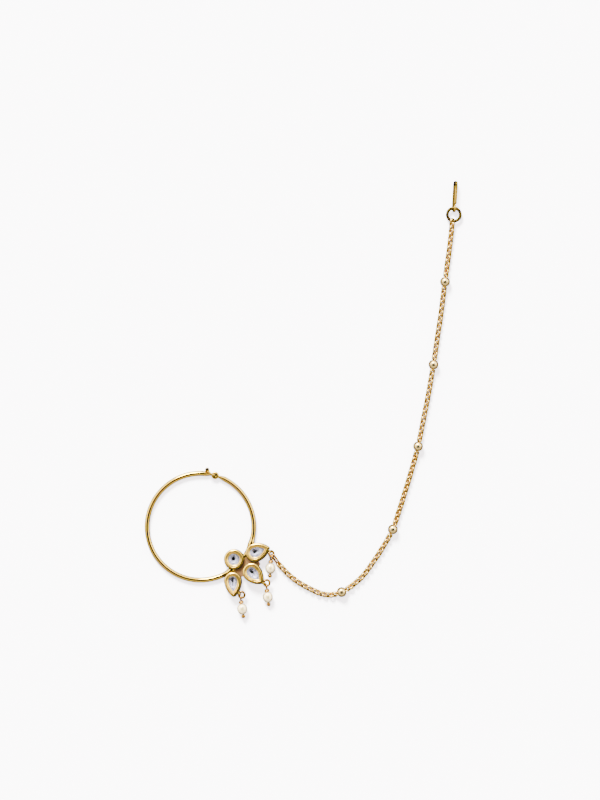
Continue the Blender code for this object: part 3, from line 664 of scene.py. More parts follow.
def nacre(name):
    """Pearl: cream body with clouds under a clear coat, with a painted dark reflection in its middle, a
    painted white sheen round that and painted shade at its rim.
    """
    gems = bpy.context.scene.jewel_gems
    made, nodes, shader = new_material(name)
    place = nodes.place()
    cloud = nodes.noise(place, scale=330.0, detail=3.0, Distortion=0.6)
    rosy = nodes.mix(cloud, colour(gems.pearl), (0.93, 0.70, 0.50, 1.0))
    body = nodes.mix(nodes.math("MULTIPLY", cloud, 0.6), rosy, (0.76, 0.72, 0.36, 1.0))
    # Painted reflection and shade by facing: dark in the middle, a white sheen ring, then darker to the rim
    facing = nodes.add("ShaderNodeLayerWeight", {"Blend": 0.5}).outputs["Facing"]
    depth = nodes.ramp(facing, (
        (0.0, (0.42, 0.41, 0.30)), (0.03, (0.60, 0.58, 0.44)), (0.11, (1.0, 1.0, 1.0)),
        (0.28, (1.0, 0.97, 0.93)), (0.52, (0.40, 0.37, 0.24)), (1.0, (0.08, 0.08, 0.04))))
    rough = nodes.math("MULTIPLY_ADD", nodes.noise(place, scale=2400.0), 0.16, 0.20)
    nodes.feed(shader, {
        "Base Color": nodes.mix(1.0, body, depth, "MULTIPLY"), "Roughness": rough,
        "Normal": nodes.bump(cloud, strength=0.08, distance=0.1), "Subsurface Weight": 0.25,
        "Subsurface Radius": (1.0, 0.8, 0.6), "Subsurface Scale": 0.4 * MM,
        "Coat Weight": gems.lustre, "Coat Roughness": 0.12, "Coat IOR": 1.6})
    return made


def material(name):
    """Material by name, made on first use."""
    makers = {"clear_stone": clear_stone, "silver_foil": silver_foil, "nacre": nacre}
    return bpy.data.materials.get(name) or makers.get(name, metal)(name)


def floor_paper():
    """Pale matt board, which the metal's edges mirror as a dark one."""
    studio = bpy.context.scene.jewel_studio
    made, nodes, shader = new_material("floor_paper")
    ray = nodes.add("ShaderNodeLightPath").outputs
    cloud = nodes.math("MULTIPLY", nodes.noise(nodes.place(), scale=12.0), 0.3)
    pale = nodes.mix(cloud, colour(studio.floor), (0.90, 0.90, 0.90, 1.0))
    nodes.feed(shader, {
        "Base Color": nodes.mix(ray["Is Glossy Ray"], pale, colour(studio.mirrored)),
        "Emission Color": nodes.mix(ray["Is Camera Ray"], BLACK, colour(studio.haze)),
        "Emission Strength": HAZE_STRENGTH, "Roughness": 0.9, "Specular IOR Level": 0.0})
    return made


def hoop_centre():
    """Centre of the hoop on the surface."""
    return level(HOOP_JOINT) - bearing(HOOP_JOINT_BEARING) * HOOP_RADIUS


def hoop_line(steps=300):
    """Open wire, clockwise from its eye's root to its hook: points, radii, painted shade, knob's middle."""
    centre = hoop_centre()
    outward = bearing(CLOSURE_BEARING)
    onward = bearing(CLOSURE_BEARING - 90)
    bend = EYE_RADIUS
    leg_z = EYE_HEIGHT - bend
    length = 2 * pi * HOOP_RADIUS - 2 * bend
    points = []
    radii = []
    for step in range(steps + 1):
        way = length * step / steps
        here = CLOSURE_BEARING - degrees((bend + way) / HOOP_RADIUS)
        thick = HOOP_WIRE / 2
        for joint in SOLDER_JOINT_BEARINGS:
            off = radians(here - joint) * HOOP_RADIUS
            thick += SOLDER_SWELL / 2 * exp(-(off / SOLDER_REACH) ** 2)
        at_eye = 1 - smooth_step(way / CLOSURE_TAPER)
        at_hook = 1 - smooth_step((length - way) / CLOSURE_TAPER)
        rest = thick + BOLD / 2
        height = rest + (EYE_HEIGHT - rest) * at_eye + (leg_z - rest) * at_hook
        thick += (EYE_WIRE / 2 - thick) * at_eye + (CLOSURE_WIRE / 2 - thick) * at_hook
        points.append(level(centre + bearing(here) * HOOP_RADIUS, height))
        radii.append(thick)
    shade_and_tarnish_values = [0.0] * len(points)
    middle = level(centre + outward * HOOP_RADIUS - onward * bend, EYE_HEIGHT)
    bend_steps, darkest, dark_reach = 24, 13, 11
    points += circle(middle, -UP, onward, bend, bend_steps + 1, turn=180.0)[1:]
    # Painted shade inside the eye where the hook's wire passes through, deepest at the bend's middle
    in_eye = [1 - smooth_step(abs(step - darkest) / dark_reach) ** 2 for step in range(1, bend_steps + 1)]
    shade_and_tarnish_values += in_eye
    radii += [CLOSURE_WIRE / 2 + LINK_GAP * EYE_FILL * dark for dark in in_eye]
    start = points[-1]
    for share in (0.1, 0.2, 0.35, 0.5, 0.65, 0.8, 1.0):
        rise = share * share
        points.append(start - onward * HOOK_LEG * share + outward * HOOK_SPREAD * rise
                      - UP * HOOK_DROP * rise)
    knob = points.pop()
    radii += [CLOSURE_WIRE / 2] * (len(points) - len(radii))
    leg = (-onward * HOOK_LEG + outward * HOOK_SPREAD - UP * HOOK_DROP).normalized()
    ball_end(points, radii, knob, leg, CLOSURE_WIRE / 2, HOOK_KNOB)
    shade_and_tarnish_values += [0.0] * (len(points) - len(shade_and_tarnish_values))
    return points, radii, shade_and_tarnish_values, knob


def fan_frame():
    """Places the fan of settings over the surface."""
    pivot = level(HOOP_JOINT, HOOP_WIRE - SETTING_SOLDER_LAP)
    axis = bearing(HOOP_JOINT_BEARING + 90)
    return Matrix.Translation(pivot) @ Matrix.Rotation(radians(-SETTING_TILT), 4, axis)


def petal_centre(petal):
    """Middle of a petal's round part in the fan's plan."""
    reach = (ROUND_DIAMETER + PETAL_WIDTH * petal["size"]) / 2 + SETTING_SPACING
    return level(ROUND_OFFSET) + bearing(petal["place"]) * reach


def petal_outline(petal, inset, steps):
    """Outline of a petal, moved inwards, in its own plan with the tip along +X."""
    bulb = PETAL_WIDTH / 2 * petal["size"]
    length = PETAL_LENGTH * petal["length"]
    start = radians(PETAL_FLANK_START)
    blunt = petal["tip"] * bulb
    room = bulb - blunt
    reach = length - blunt
    flank = bulb + (reach ** 2 - room ** 2) / (2 * (room - reach * cos(start)))
    back = bearing(PETAL_FLANK_START) * (bulb - flank)
    tip = max(blunt - inset, PETAL_MIN_TIP)
    reach = sqrt((flank - inset - tip) ** 2 - back.y ** 2)
    tip_centre = Vector((back.x + reach, 0, 0))
    end = atan2(-back.y, reach)
    mirrored = Vector((back.x, -back.y, 0))
    bulb_steps, flank_steps, tip_steps = steps
    arcs = (
        (Vector(), bulb - inset, start, 2 * pi - start, bulb_steps),
        (mirrored, flank - inset, -start, -end, flank_steps),
        (tip_centre, tip, -end, end, tip_steps),
        (back, flank - inset, end, start, flank_steps),
    )
    points = []
    for centre, radius, first, last, count in arcs:
        turn = degrees(last - first)
        points += circle(centre, EAST, NORTH, radius, count + 1, degrees(first), turn)[:-1]
    return points


def outline(petal, inset, coarse=False):
    """Outline of a petal's setting, or of the round one without a petal, moved inwards."""
    if petal:
        return petal_outline(petal, inset, PETAL_STEPS[coarse])
    return circle(Vector(), EAST, NORTH, ROUND_DIAMETER / 2 - inset, ROUND_STEPS[coarse])


def setting_places():
    """Each setting's name, petal if it has one, and place."""
    fan = fan_frame()
    places = [("round", None, fan @ Matrix.Translation(level(ROUND_OFFSET)))]
    for petal in PETALS:
        turn = Matrix.Rotation(radians(petal["point"]), 4, UP)
        places.append((petal["name"], petal, fan @ Matrix.Translation(petal_centre(petal)) @ turn))
    return places


def placed(place, points, height, share=1.0):
    """Points of a plan, shrunk to a share, raised and put in their place."""
    return [place @ (point * share + UP * height) for point in points]


def setting_profile():
    """Section of a setting from its foot over the rim into the well: inset, height and painted darkening.
    The wall and the rim's outer edge carry painted dark reflection; the rim's inner edge, the lip and the
    well carry painted shade.
    """
    edge = FOOT_EDGE
    shoulder = SETTING_HEIGHT - RIM_RISE
    # Foot and wall: painted dark reflection
    profile = [(edge, 0.0, 1.0), (edge * 0.3, edge * 0.3, 1.0), (0.0, edge, 1.0)]
    for share in (0.25, 0.5, 0.75, 0.9):
        profile.append((WALL_DRAFT * share, shoulder * share, 0.95))
    steps = 24
    inner_start, inner_width = 0.93, 0.07
    for step in range(steps + 1):
        angle = pi * step / steps
        across = (1 - cos(angle)) / 2
        across += RIM_LEAN * sin(angle) ** 2 * (1 - across)
        # Painted dark reflection along the rim's outer edge, and painted shade at its inner edge
        outer = 1 - smooth_step((across * RIM_WIDTH - OUTLINE_WIDTH / 2) / OUTLINE_WIDTH)
        inner = smooth_step((across - inner_start) / inner_width)
        profile.append((WALL_DRAFT + RIM_WIDTH * across, shoulder + RIM_RISE * sin(angle),
                        max(outer, 0.5 * inner)))
    lip_top = SETTING_HEIGHT - LIP_DROP
    inner_rim = WALL_DRAFT + RIM_WIDTH
    # Painted shade down the lip, deepest at its two ends
    for share in (0.12, 0.3, 0.55, 0.8, 0.94):
        sag = sin(pi * share) * LIP_SAG
        profile.append((inner_rim + LIP_WIDTH * share, shoulder + (lip_top - shoulder) * share - sag,
                        max(0.4 * (1 - 4 * share), 0.6 * (share - 0.75) * 4, 0.05)))
    # Painted shade in the corner under the lip and down into the well
    well = LIP_INSET - STONE_HOLD - STONE_GAP
    profile += [(LIP_INSET, lip_top - 0.01 * MM, 0.9), (LIP_INSET, lip_top - LIP_EDGE, 1.0),
                (well, lip_top - LIP_EDGE, 1.0), (well, WELL_FLOOR, 1.0)]
    return profile


def wall_point(petal):
    """Where a petal's hanging loop meets its wall, and the way outwards there, in the fan's plan."""
    points = outline(petal, WALL_DRAFT * LOOP_HEIGHT / SETTING_HEIGHT)
    aim = bearing(petal["loop"])
    for index, first in enumerate(points):
        second = points[(index + 1) % len(points)]
        edge = second - first
        spread = aim.x * edge.y - aim.y * edge.x
        if abs(spread) < 1e-12:
            continue
        along = (first.x * edge.y - first.y * edge.x) / spread
        share = (first.x * aim.y - first.y * aim.x) / spread
        if along > 0 and 0 <= share < 1:
            outward = Vector((edge.y, -edge.x, 0)).normalized()
            break
    turn = Matrix.Rotation(radians(petal["point"]), 3, UP)
    return petal_centre(petal) + turn @ (aim * along), turn @ outward


def loop_hole(petal):
    """Centre of a petal's hanging loop, its outward way and the spot on the wall, in the world."""
    fan = fan_frame()
    place, outward = wall_point(petal)
    stand = RING_WIRE / 2 + LINK_GAP
    hole = fan @ (place + outward * stand + UP * LOOP_HEIGHT)
    return hole, (fan.to_3x3() @ outward).normalized(), fan @ (place + UP * LOOP_HEIGHT)


def ring_axes(petal):
    """Centre of a petal's jump ring and the two unit vectors of its plane."""
    slope = radians(petal["slope"])
    first = bearing(petal["ring"]) * cos(slope) - UP * sin(slope)
    second = bearing(petal["ring"] + 90)
    second = Matrix.Rotation(radians(petal["roll"]), 3, first) @ second
    return loop_hole(petal)[0] + first * RING_RADIUS, first, second


def ring_point(petal, way):
    """Point of a jump ring's wire on the side that a bearing points to, and the wire's direction there."""
    centre, first, second = ring_axes(petal)
    aim = bearing(way)
    outward = (first * aim.dot(first) + second * aim.dot(second)).normalized()
    return centre + outward * RING_RADIUS, first.cross(second).cross(outward)


def pin_axes(petal):
    """Centre of a pin's eye, the pin's direction and the second unit vector of the eye's plane."""
    hold, along = ring_point(petal, petal["hold"])
    hold += bearing(petal["drop"]) * PIN_EYE_SLACK
    slope = 0.0
    for _ in range(8):
        rest = hypot(PEARL_LENGTH / 2 * sin(slope), PEARL_WIDTH / 2 * cos(slope))
        slope = asin(min(max((hold.z - rest) / PIN_LENGTH, -0.9), 0.9))
    direction = bearing(petal["drop"]) * cos(slope) - UP * sin(slope)
    across = squared(along, direction)
    return hold, direction, across.cross(direction)


def route_curve():
    """Dense points along the chain's way, the way to each of them, and the ways of its beads."""
    knots = [Vector((x, y, 0)) * MM for x, y, _ in CHAIN_ROUTE]
    knots = [2 * knots[0] - knots[1]] + knots + [2 * knots[-1] - knots[-2]]
    steps = 24
    points = []
    stops = []
    for index, (_, _, bead) in enumerate(CHAIN_ROUTE):
        if bead:
            stops.append(len(points))
        if index + 1 == len(CHAIN_ROUTE):
            points.append(knots[-2])
            break
        before, first, second, after = knots[index:index + 4]
        for step in range(steps):
            t = step / steps
            points.append(0.5 * (2 * first + (second - before) * t
                                 + (2 * before - 5 * first + 4 * second - after) * t ** 2
                                 + (3 * first - before - 3 * second + after) * t ** 3))
    ways = [0.0]
    for first, second in zip(points, points[1:]):
        ways.append(ways[-1] + (second - first).length)
    return points, ways, [ways[stop] for stop in stops]


def chain_height(way, beads, length):
    """Height of the chain's centre: on the surface, and lifted into its beads and its end ring."""
    rest = CHAIN_REST
    lift = 0.0
    for bead in beads:
        near = 1 - smooth_step(abs(way - bead) / CHAIN_LIFT_REACH)
        lift = max(lift, (BEAD_DIAMETER / 2 - rest) * near)
    end_lift = (END_RING_HEIGHT - rest) * (1 - smooth_step((length - way) / CHAIN_LIFT_REACH))
    return rest + max(lift, end_lift)


def route_point(curve, way):
    """Point of the chain's centreline at a distance along it, also a little way past its ends."""
    points, ways, beads = curve
    index = 1
    while ways[index] < way and index < len(ways) - 1:
        index += 1
    share = (way - ways[index - 1]) / (ways[index] - ways[index - 1])
    return level(points[index - 1].lerp(points[index], share), chain_height(way, beads, ways[-1]))


def bead_axes(curve, way):
    """Centre and direction of a bead on the chain, and a unit vector half-way up its side."""
    here = route_point(curve, way)
    step = BEAD_DIAMETER / 2
    direction = (route_point(curve, way + step) - route_point(curve, way - step)).normalized()
    side = direction.cross(UP).normalized()
    return here, direction, (side + side.cross(direction)).normalized()


def oval_axes(curve):
    """Centre of the long oval ring, its direction and its second unit vector."""
    hold, along = ring_point(PETALS[0], OVAL_BEARING)
    direction = (route_point(curve, 0.0) - hold).normalized()
    across = squared(along, direction)
    centre = hold + direction * ((OVAL_LENGTH - OVAL_WIRE) / 2 - OVAL_HOLD)
    return centre, direction, across.cross(direction)


def end_ring_centre():
    """Centre of the end ring, just past the chain's last point."""
    last = level(Vector(CHAIN_ROUTE[-1][:2]) * MM, END_RING_HEIGHT)
    return last + bearing(END_RING_BEARING) * (END_RING_OUTER_DIAMETER / 2 + CHAIN_END_GAP)


def drilled_profile(width, length, bore, steps, lip):
    """Section of a bead of revolution with rounded mouths: way along it, radius and painted shade, which
    darkens its mouths and its bore.
    """
    start = asin((bore / 2 + lip) / (width / 2))
    profile = []
    for step in range(steps + 1):
        angle = start + (pi - 2 * start) * step / steps
        profile.append((-length / 2 * cos(angle), width / 2 * sin(angle), 0.0))
    mouth = profile[-1][0]
    rounding = []
    for angle in (25.0, 50.0, 75.0):
        turn = radians(angle)
        way = mouth + lip * 0.12 - lip * (1 - cos(turn))
        rounding.append((way, bore / 2 + lip * (1 - sin(turn)), 0.4))
    # Painted shade inside the bore
    inner = (mouth - lip * 1.6, bore / 2, 1.0)
    entering = [(-way, radius, dark) for way, radius, dark in reversed(rounding)]
    return [(-inner[0], inner[1], 1.0)] + entering + profile + rounding + [inner]


def drilled_shell(shell, centre, direction, profile, around, lump=0.0):
    """Bead of revolution skinned into a shell. lump is how far its surface wanders."""
    up = squared(UP, direction)
    side = direction.cross(up)
    rings = []
    for way, radius, _ in profile:
        ring = circle(centre + direction * way, up, side, radius, around)
        if lump:
            ring = [point + (point - centre).normalized() * lump * noise.noise(point / LUMP_SPAN)
                    for point in ring]
        rings.append(ring)
    shell.loft(rings, [dark for _, _, dark in profile], closed=True)


class JEWEL_OT_hoop(Operator):
    """Wire hoop with its hook and eye, polished."""

    bl_idname = "jewel.hoop"
    bl_label = "Hoop"

    def execute(self, context):
        shell = Shell()
        points, radii, shade_and_tarnish_values, knob = hoop_line()
        shell.wire(points, radii, UP, sides=28, shade_and_tarnish_values=shade_and_tarnish_values)
        # Painted dark reflection on the knob's top
        for vert in shell.bm.verts:
            if (vert.co - knob).length < HOOK_KNOB and vert.co.z > knob.z + HOOK_KNOB * KNOB_CAP:
                vert[shell.shade] = KNOB_DARK
        centre = level(hoop_centre() + bearing(CLOSURE_BEARING) * HOOP_RADIUS, EYE_HEIGHT)
        shell.ring(centre, EAST, NORTH, EYE_RADIUS, EYE_WIRE, steps=56, sides=20)
        shell.finish("hoop_wire", "yellow_gold", ["nose_hoop"])
        return {"FINISHED"}


class JEWEL_OT_settings(Operator):
    """Four closed-back settings on their plate, with the hanging loops."""

    bl_idname = "jewel.settings"
    bl_label = "Settings"

    def execute(self, context):
        profile = setting_profile()
        for name, petal, place in setting_places():
            shell = Shell()
            rings = [placed(place, outline(petal, inset), height) for inset, height, _ in profile]
            shell.loft(rings, [dark for _, _, dark in profile])
            shell.finish(f"setting_{name}", "setting_gold", ["nose_hoop"], crease=50.0)
        self.plate()
        self.loops()
        return {"FINISHED"}

    def plate(self):
        """Back plate with softened edges."""
        fan = fan_frame()
        upper, middle, lower = [petal_centre(petal) for petal in PETALS]
        start = level(ROUND_OFFSET)
        corners = [start, upper, start + bearing(PLATE_BEARING) * PLATE_REACH, middle, lower]
        centre = sum(corners, Vector()) / len(corners)
        rings = []
        for inset, height in ((PLATE_EDGE, 0.0), (0.0, PLATE_EDGE), (0.0, PLATE_THICKNESS - PLATE_EDGE),
                              (PLATE_EDGE, PLATE_THICKNESS)):
            ring = [corner + (centre - corner).normalized() * inset for corner in corners]
            rings.append(placed(fan, ring, PLATE_INSET + height))
        shell = Shell()
        # Painted shade, deepest at the plate's foot between the settings
        shell.loft(rings, [0.6, 0.4, 0.25, 0.05])
        shell.finish("back_plate", "copper_back", ["nose_hoop"])

    def loops(self):
        """Hanging loops, each on a drop of solder."""
        shell = Shell()
        for petal in PETALS:
            centre, outward, spot = loop_hole(petal)
            radius = (RING_WIRE + LOOP_WIRE) / 2 + LINK_GAP
            aim = (outward + bearing(petal["ring"])).normalized()
            side = aim.cross(UP).normalized()
            # Darkened all over, with painted shade deepest on the loop's inner side
            shell.ring(centre, aim, side.cross(aim), radius, LOOP_WIRE, steps=40, sides=14, crevice=0.6,
                       inner_shade=0.95)
            solder = []
            radii = []
            ball_end(solder, radii, spot, outward, SOLDER_NECK, SOLDER_BALL, steps=12)
            shell.wire(solder, radii, UP)
        shell.finish("hanging_loops", "setting_gold", ["nose_hoop"])


class JEWEL_OT_stones(Operator):
    """Cut stones over silvered foil."""

    bl_idname = "jewel.stones"
    bl_label = "Stones"

    def execute(self, context):
        for name, petal, place in setting_places():
            self.stone(name, petal, place)
            self.foil(name, petal, place)
        return {"FINISHED"}

    def stone(self, name, petal, place):
        """Table, stars, kites and girdle facets over a tapered back."""
        girdle = outline(petal, LIP_INSET - STONE_HOLD, coarse=True)
        table_z = SETTING_HEIGHT - STONE_TABLE_DROP
        lip_foot = SETTING_HEIGHT - LIP_DROP - LIP_EDGE
        girdle_z = lip_foot - STONE_GAP - STONE_HOLD
        base_z = WELL_FLOOR + STONE_GAP
        # Each tier's points, share of the girdle's outline and height
        tiers = (
            ("table", girdle[::2], 0.52, table_z),
            ("star", girdle[1::2], 0.70, table_z - 0.42 * (table_z - girdle_z)),
            ("upper", girdle, 1.0, girdle_z),
            ("lower", girdle, 1.0, girdle_z - STONE_GIRDLE),
            ("skirt", girdle[1::2], 0.60, girdle_z - 0.6 * (girdle_z - base_z)),
            ("base", girdle[::2], 0.16, base_z),
        )
        bm = bmesh.new()
        verts = {}
        for tier, points, share, height in tiers:
            verts[tier] = [bm.verts.new(point) for point in placed(place, points, height, share)]
        bm.faces.new(verts["table"])
        bm.faces.new(verts["base"])
        count = len(girdle)
        half = count // 2
        for index in range(count):
            after = (index + 1) % count
            bm.faces.new((verts["lower"][index], verts["lower"][after],
                          verts["upper"][after], verts["upper"][index]))
        for inner, middle, outer in (("table", "star", "upper"), ("base", "skirt", "lower")):
            small, points, large = verts[inner], verts[middle], verts[outer]
            for index in range(half):
                after = (index + 1) % half
                top, side = small[index], points[index]
                first, second = large[2 * index:2 * index + 2]
                third = large[(2 * index + 2) % count]
                for facet in ((top, side, small[after]), (side, first, second), (side, second, third),
                              (top, first, side), (top, points[index - 1], first)):
                    bm.faces.new(facet)
        bmesh.ops.recalc_face_normals(bm, faces=bm.faces)
        mesh = bpy.data.meshes.new(f"cut_stone_{name}")
        bm.to_mesh(mesh)
        bm.free()
        mesh.materials.append(material("clear_stone"))
        show(f"cut_stone_{name}", mesh, [f"stone_{name}"])

    def foil(self, name, petal, place):
        """Faceted foil dish close under the stone's back, with a painted dark spot of shade at its lowest
        point.
        """
        rim = LIP_INSET - STONE_HOLD - STONE_GAP / 2
        high = SETTING_HEIGHT - LIP_DROP - LIP_EDGE - STONE_GAP - STONE_HOLD - STONE_GIRDLE
        low = WELL_FLOOR + FOIL_STAND
        under = low - FOIL_FLOOR
        rise = high - low
        outer = outline(petal, rim, coarse=True)
        # Each ring's share of the rim's outline, height and painted shade
        tiers = ((0.20, low, 1.0), (0.29, low + 0.03 * rise, 0.75), (0.38, low + 0.08 * rise, 0.1),
                 (0.68, low + 0.45 * rise, 0.0), (0.97, high, 0.0), (1.0, high, 0.0),
                 (1.0, high - FOIL_RIM, 0.0), (0.9, under, 0.0), (0.3, under, 0.0))
        shell = Shell()
        rings = []
        for share, height, _ in tiers:
            ring = placed(place, outer, height, share)
            if share < 0.5 and height >= low:
                ring = [point + CULET_SHIFT for point in ring]
            rings.append(ring)
        shell.loft(rings, [dark for _, _, dark in tiers])
        shell.finish(f"foil_{name}", "silver_foil", [f"stone_{name}"], crease=5.0)


class JEWEL_OT_drops(Operator):
    """Jump rings, wrapped pins and pearls."""

    bl_idname = "jewel.drops"
    bl_label = "Pearl drops"

    def execute(self, context):
        for petal in PETALS:
            name = petal["name"]
            centre, first, second = ring_axes(petal)
            shell = Shell()
            # Painted shade on the ring's inner side
            shell.ring(centre, first, second, RING_RADIUS, RING_WIRE + BOLD / 2, steps=56, sides=18,
                       cut=100.0, inner_shade=0.8)
            shell.finish(f"ring_{name}", "orange_gold", [f"jump_ring_{name}"])
            self.pin(petal)
            self.pearl(petal)
        return {"FINISHED"}

    def pin(self, petal):
        """Headed pin: an eye, turns of wrapped wire and a ball end."""
        centre, direction, upright = pin_axes(petal)
        side = direction.cross(upright)
        shell = Shell()
        # Painted shade on the eye's inner side
        shell.ring(centre, direction, upright, PIN_EYE_RADIUS, PIN_WIRE, steps=40, sides=14, inner_shade=0.9)
        start = centre + direction * PIN_EYE_RADIUS
        end = centre + direction * (PIN_LENGTH + PEARL_LENGTH / 2)
        ball = end + direction * (sqrt((DROP_BALL / 2) ** 2 - (PEARL_BORE / 2) ** 2) + LINK_GAP)
        points = [start, end]
        radii = [PIN_WIRE / 2, PIN_WIRE / 2]
        ball_end(points, radii, ball, direction, PIN_WIRE / 2, DROP_BALL)
        shell.wire(points, radii, upright, sides=24)
        turns = len(PIN_WRAP_DIAMETERS)
        steps = 24 * turns
        inner = (PIN_WRAP_DIAMETERS[0] - PIN_WRAP_WIRE) / 2 + BOLD / 2
        outer = (PIN_WRAP_DIAMETERS[-1] - PIN_WRAP_WIRE) / 2 + BOLD
        wrap_start = centre + direction * (PIN_EYE_RADIUS + PIN_WIRE / 2 + PIN_WRAP_WIRE / 2)
        rise = WRAP_LENGTH - PIN_WRAP_WIRE
        coil = []
        for step in range(steps + 1):
            share = step / steps
            angle = 2 * pi * turns * share
            radius = inner + (outer - inner) * share
            arm = upright * cos(angle) + side * sin(angle)
            coil.append(wrap_start + direction * rise * share + arm * radius)
        shell.wire(coil, PIN_WRAP_WIRE / 2, direction, sides=12)
        shell.finish(f"pin_{petal['name']}", "orange_gold", [f"drop_pin_{petal['name']}"])

    def pearl(self, petal):
        """Drilled pearl that isn't quite round."""
        centre, direction, _ = pin_axes(petal)
        shell = Shell()
        width = PEARL_WIDTH * PEARL_NARROWED
        profile = drilled_profile(width, PEARL_LENGTH, PEARL_BORE, steps=40, lip=PEARL_LIP)
        middle = centre + direction * PIN_LENGTH
        drilled_shell(shell, middle, direction, profile, around=56, lump=PEARL_LUMP)
        name = petal["name"]
        shell.finish(f"nacre_pearl_{name}", "nacre", [f"pearl_{name}"])


def link_tree():
    """Geometry nodes that string links along a path, turned to either side by turns."""
    sizes = bpy.context.scene.jewel_links
    tree = bpy.data.node_groups.new("belcher links", "GeometryNodeTree")
    for name, kind in (("Path", "Geometry"), ("Count", "Int"), ("First roll", "Float"), ("Seed", "Int")):
        tree.interface.new_socket(name=name, in_out="INPUT", socket_type=f"NodeSocket{kind}")
    tree.interface.new_socket(name="Links", in_out="OUTPUT", socket_type="NodeSocketGeometry")
    nodes = Nodes(tree)
    given = nodes.add("NodeGroupInput").outputs
    wire_radius = sizes.wire / 2
    link_radius = sizes.diameter / 2 - wire_radius
    line, section = [
        nodes.add("GeometryNodeCurvePrimitiveCircle", {"Resolution": count, "Radius": radius})
        for count, radius in ((sizes.steps, link_radius), (sizes.sides, wire_radius))]
    flat = nodes.add("GeometryNodeTransform", {"Geometry": section, "Scale": (1.0, sizes.band, 1.0)})
    link = nodes.add("GeometryNodeCurveToMesh", {"Curve": line, "Profile Curve": flat})
    smooth = nodes.add("GeometryNodeSetShadeSmooth", {"Geometry": link})
    # Painted shade on each link's inner side, where the links cross
    spot = nodes.add("GeometryNodeInputPosition")
    reach = nodes.add("ShaderNodeVectorMath", {0: spot}, operation="LENGTH")
    inner_shade = nodes.add("ShaderNodeMapRange", {
        "Value": reach.outputs["Value"], "From Min": link_radius - wire_radius, "From Max": link_radius,
        "To Min": 1.0, "To Max": 0.0})
    shaded = nodes.add("GeometryNodeStoreNamedAttribute",
                       {"Geometry": smooth, "Name": "crevice", "Value": inner_shade},
                       data_type="FLOAT", domain="POINT")

    path = nodes.add("GeometryNodeMeshToCurve", {"Mesh": given["Path"]})
    spots = nodes.add("GeometryNodeCurveToPoints", {"Curve": path, "Count": given["Count"]})
    ahead = nodes.add("FunctionNodeAlignRotationToVector", {"Vector": spots.outputs["Tangent"]}, axis="X")
    upright = nodes.add("FunctionNodeAlignRotationToVector", {"Rotation": ahead, "Vector": UP},
                        axis="Z", pivot_axis="X")
    odd = nodes.math("FLOORED_MODULO", nodes.add("GeometryNodeInputIndex"), 2.0)
    roll = nodes.math("MULTIPLY", given["First roll"], nodes.math("MULTIPLY_ADD", odd, -2.0, 1.0))
    limits = {2: -sizes.unrest, 3: sizes.unrest, "Seed": given["Seed"]}
    unrest = nodes.add("FunctionNodeRandomValue", limits, data_type="FLOAT").outputs[1]
    turn = nodes.add("FunctionNodeAxisAngleToRotation",
                     {"Axis": (1.0, 0.0, 0.0), "Angle": nodes.math("ADD", roll, unrest)})
    turned = nodes.add("FunctionNodeRotateRotation", {"Rotation": upright, "Rotate By": turn},
                       rotation_space="LOCAL")
    links = nodes.add("GeometryNodeInstanceOnPoints",
                      {"Points": spots, "Instance": shaded, "Rotation": turned})
    real = nodes.add("GeometryNodeRealizeInstances", {"Geometry": links})
    dressed = nodes.add("GeometryNodeSetMaterial", {"Geometry": real, "Material": material("rose_gold")})
    nodes.feed(nodes.add("NodeGroupOutput"), {"Links": dressed})
    return tree


def string_links(curve, index, start, end, count, first_roll):
    """One stretch of links between two ways along the chain, in place of its CAD node."""
    name = f"links_{index}"
    steps = PATH_STEPS * count
    points = [route_point(curve, start + (end - start) * step / steps) for step in range(steps + 1)]
    path = bpy.data.meshes.new(f"{name}_path")
    path.from_pydata(points, [(step, step + 1) for step in range(steps)], [])
    carrier = add_object(f"{name}_path", path)
    strung = carrier.modifiers.new("links", "NODES")
    strung.node_group = group("belcher links", link_tree)
    values = {"Count": count, "First roll": first_roll, "Seed": index}
    for item in strung.node_group.interface.items_tree:
        if item.name in values:
            strung[item.identifier] = values[item.name]
    graph = bpy.context.evaluated_depsgraph_get()
    mesh = bpy.data.meshes.new_from_object(carrier.evaluated_get(graph))
    mesh.name = name
    carrier.modifiers.remove(strung)
    bpy.data.objects.remove(carrier)
    show(name, mesh, [f"chain_{index}"])


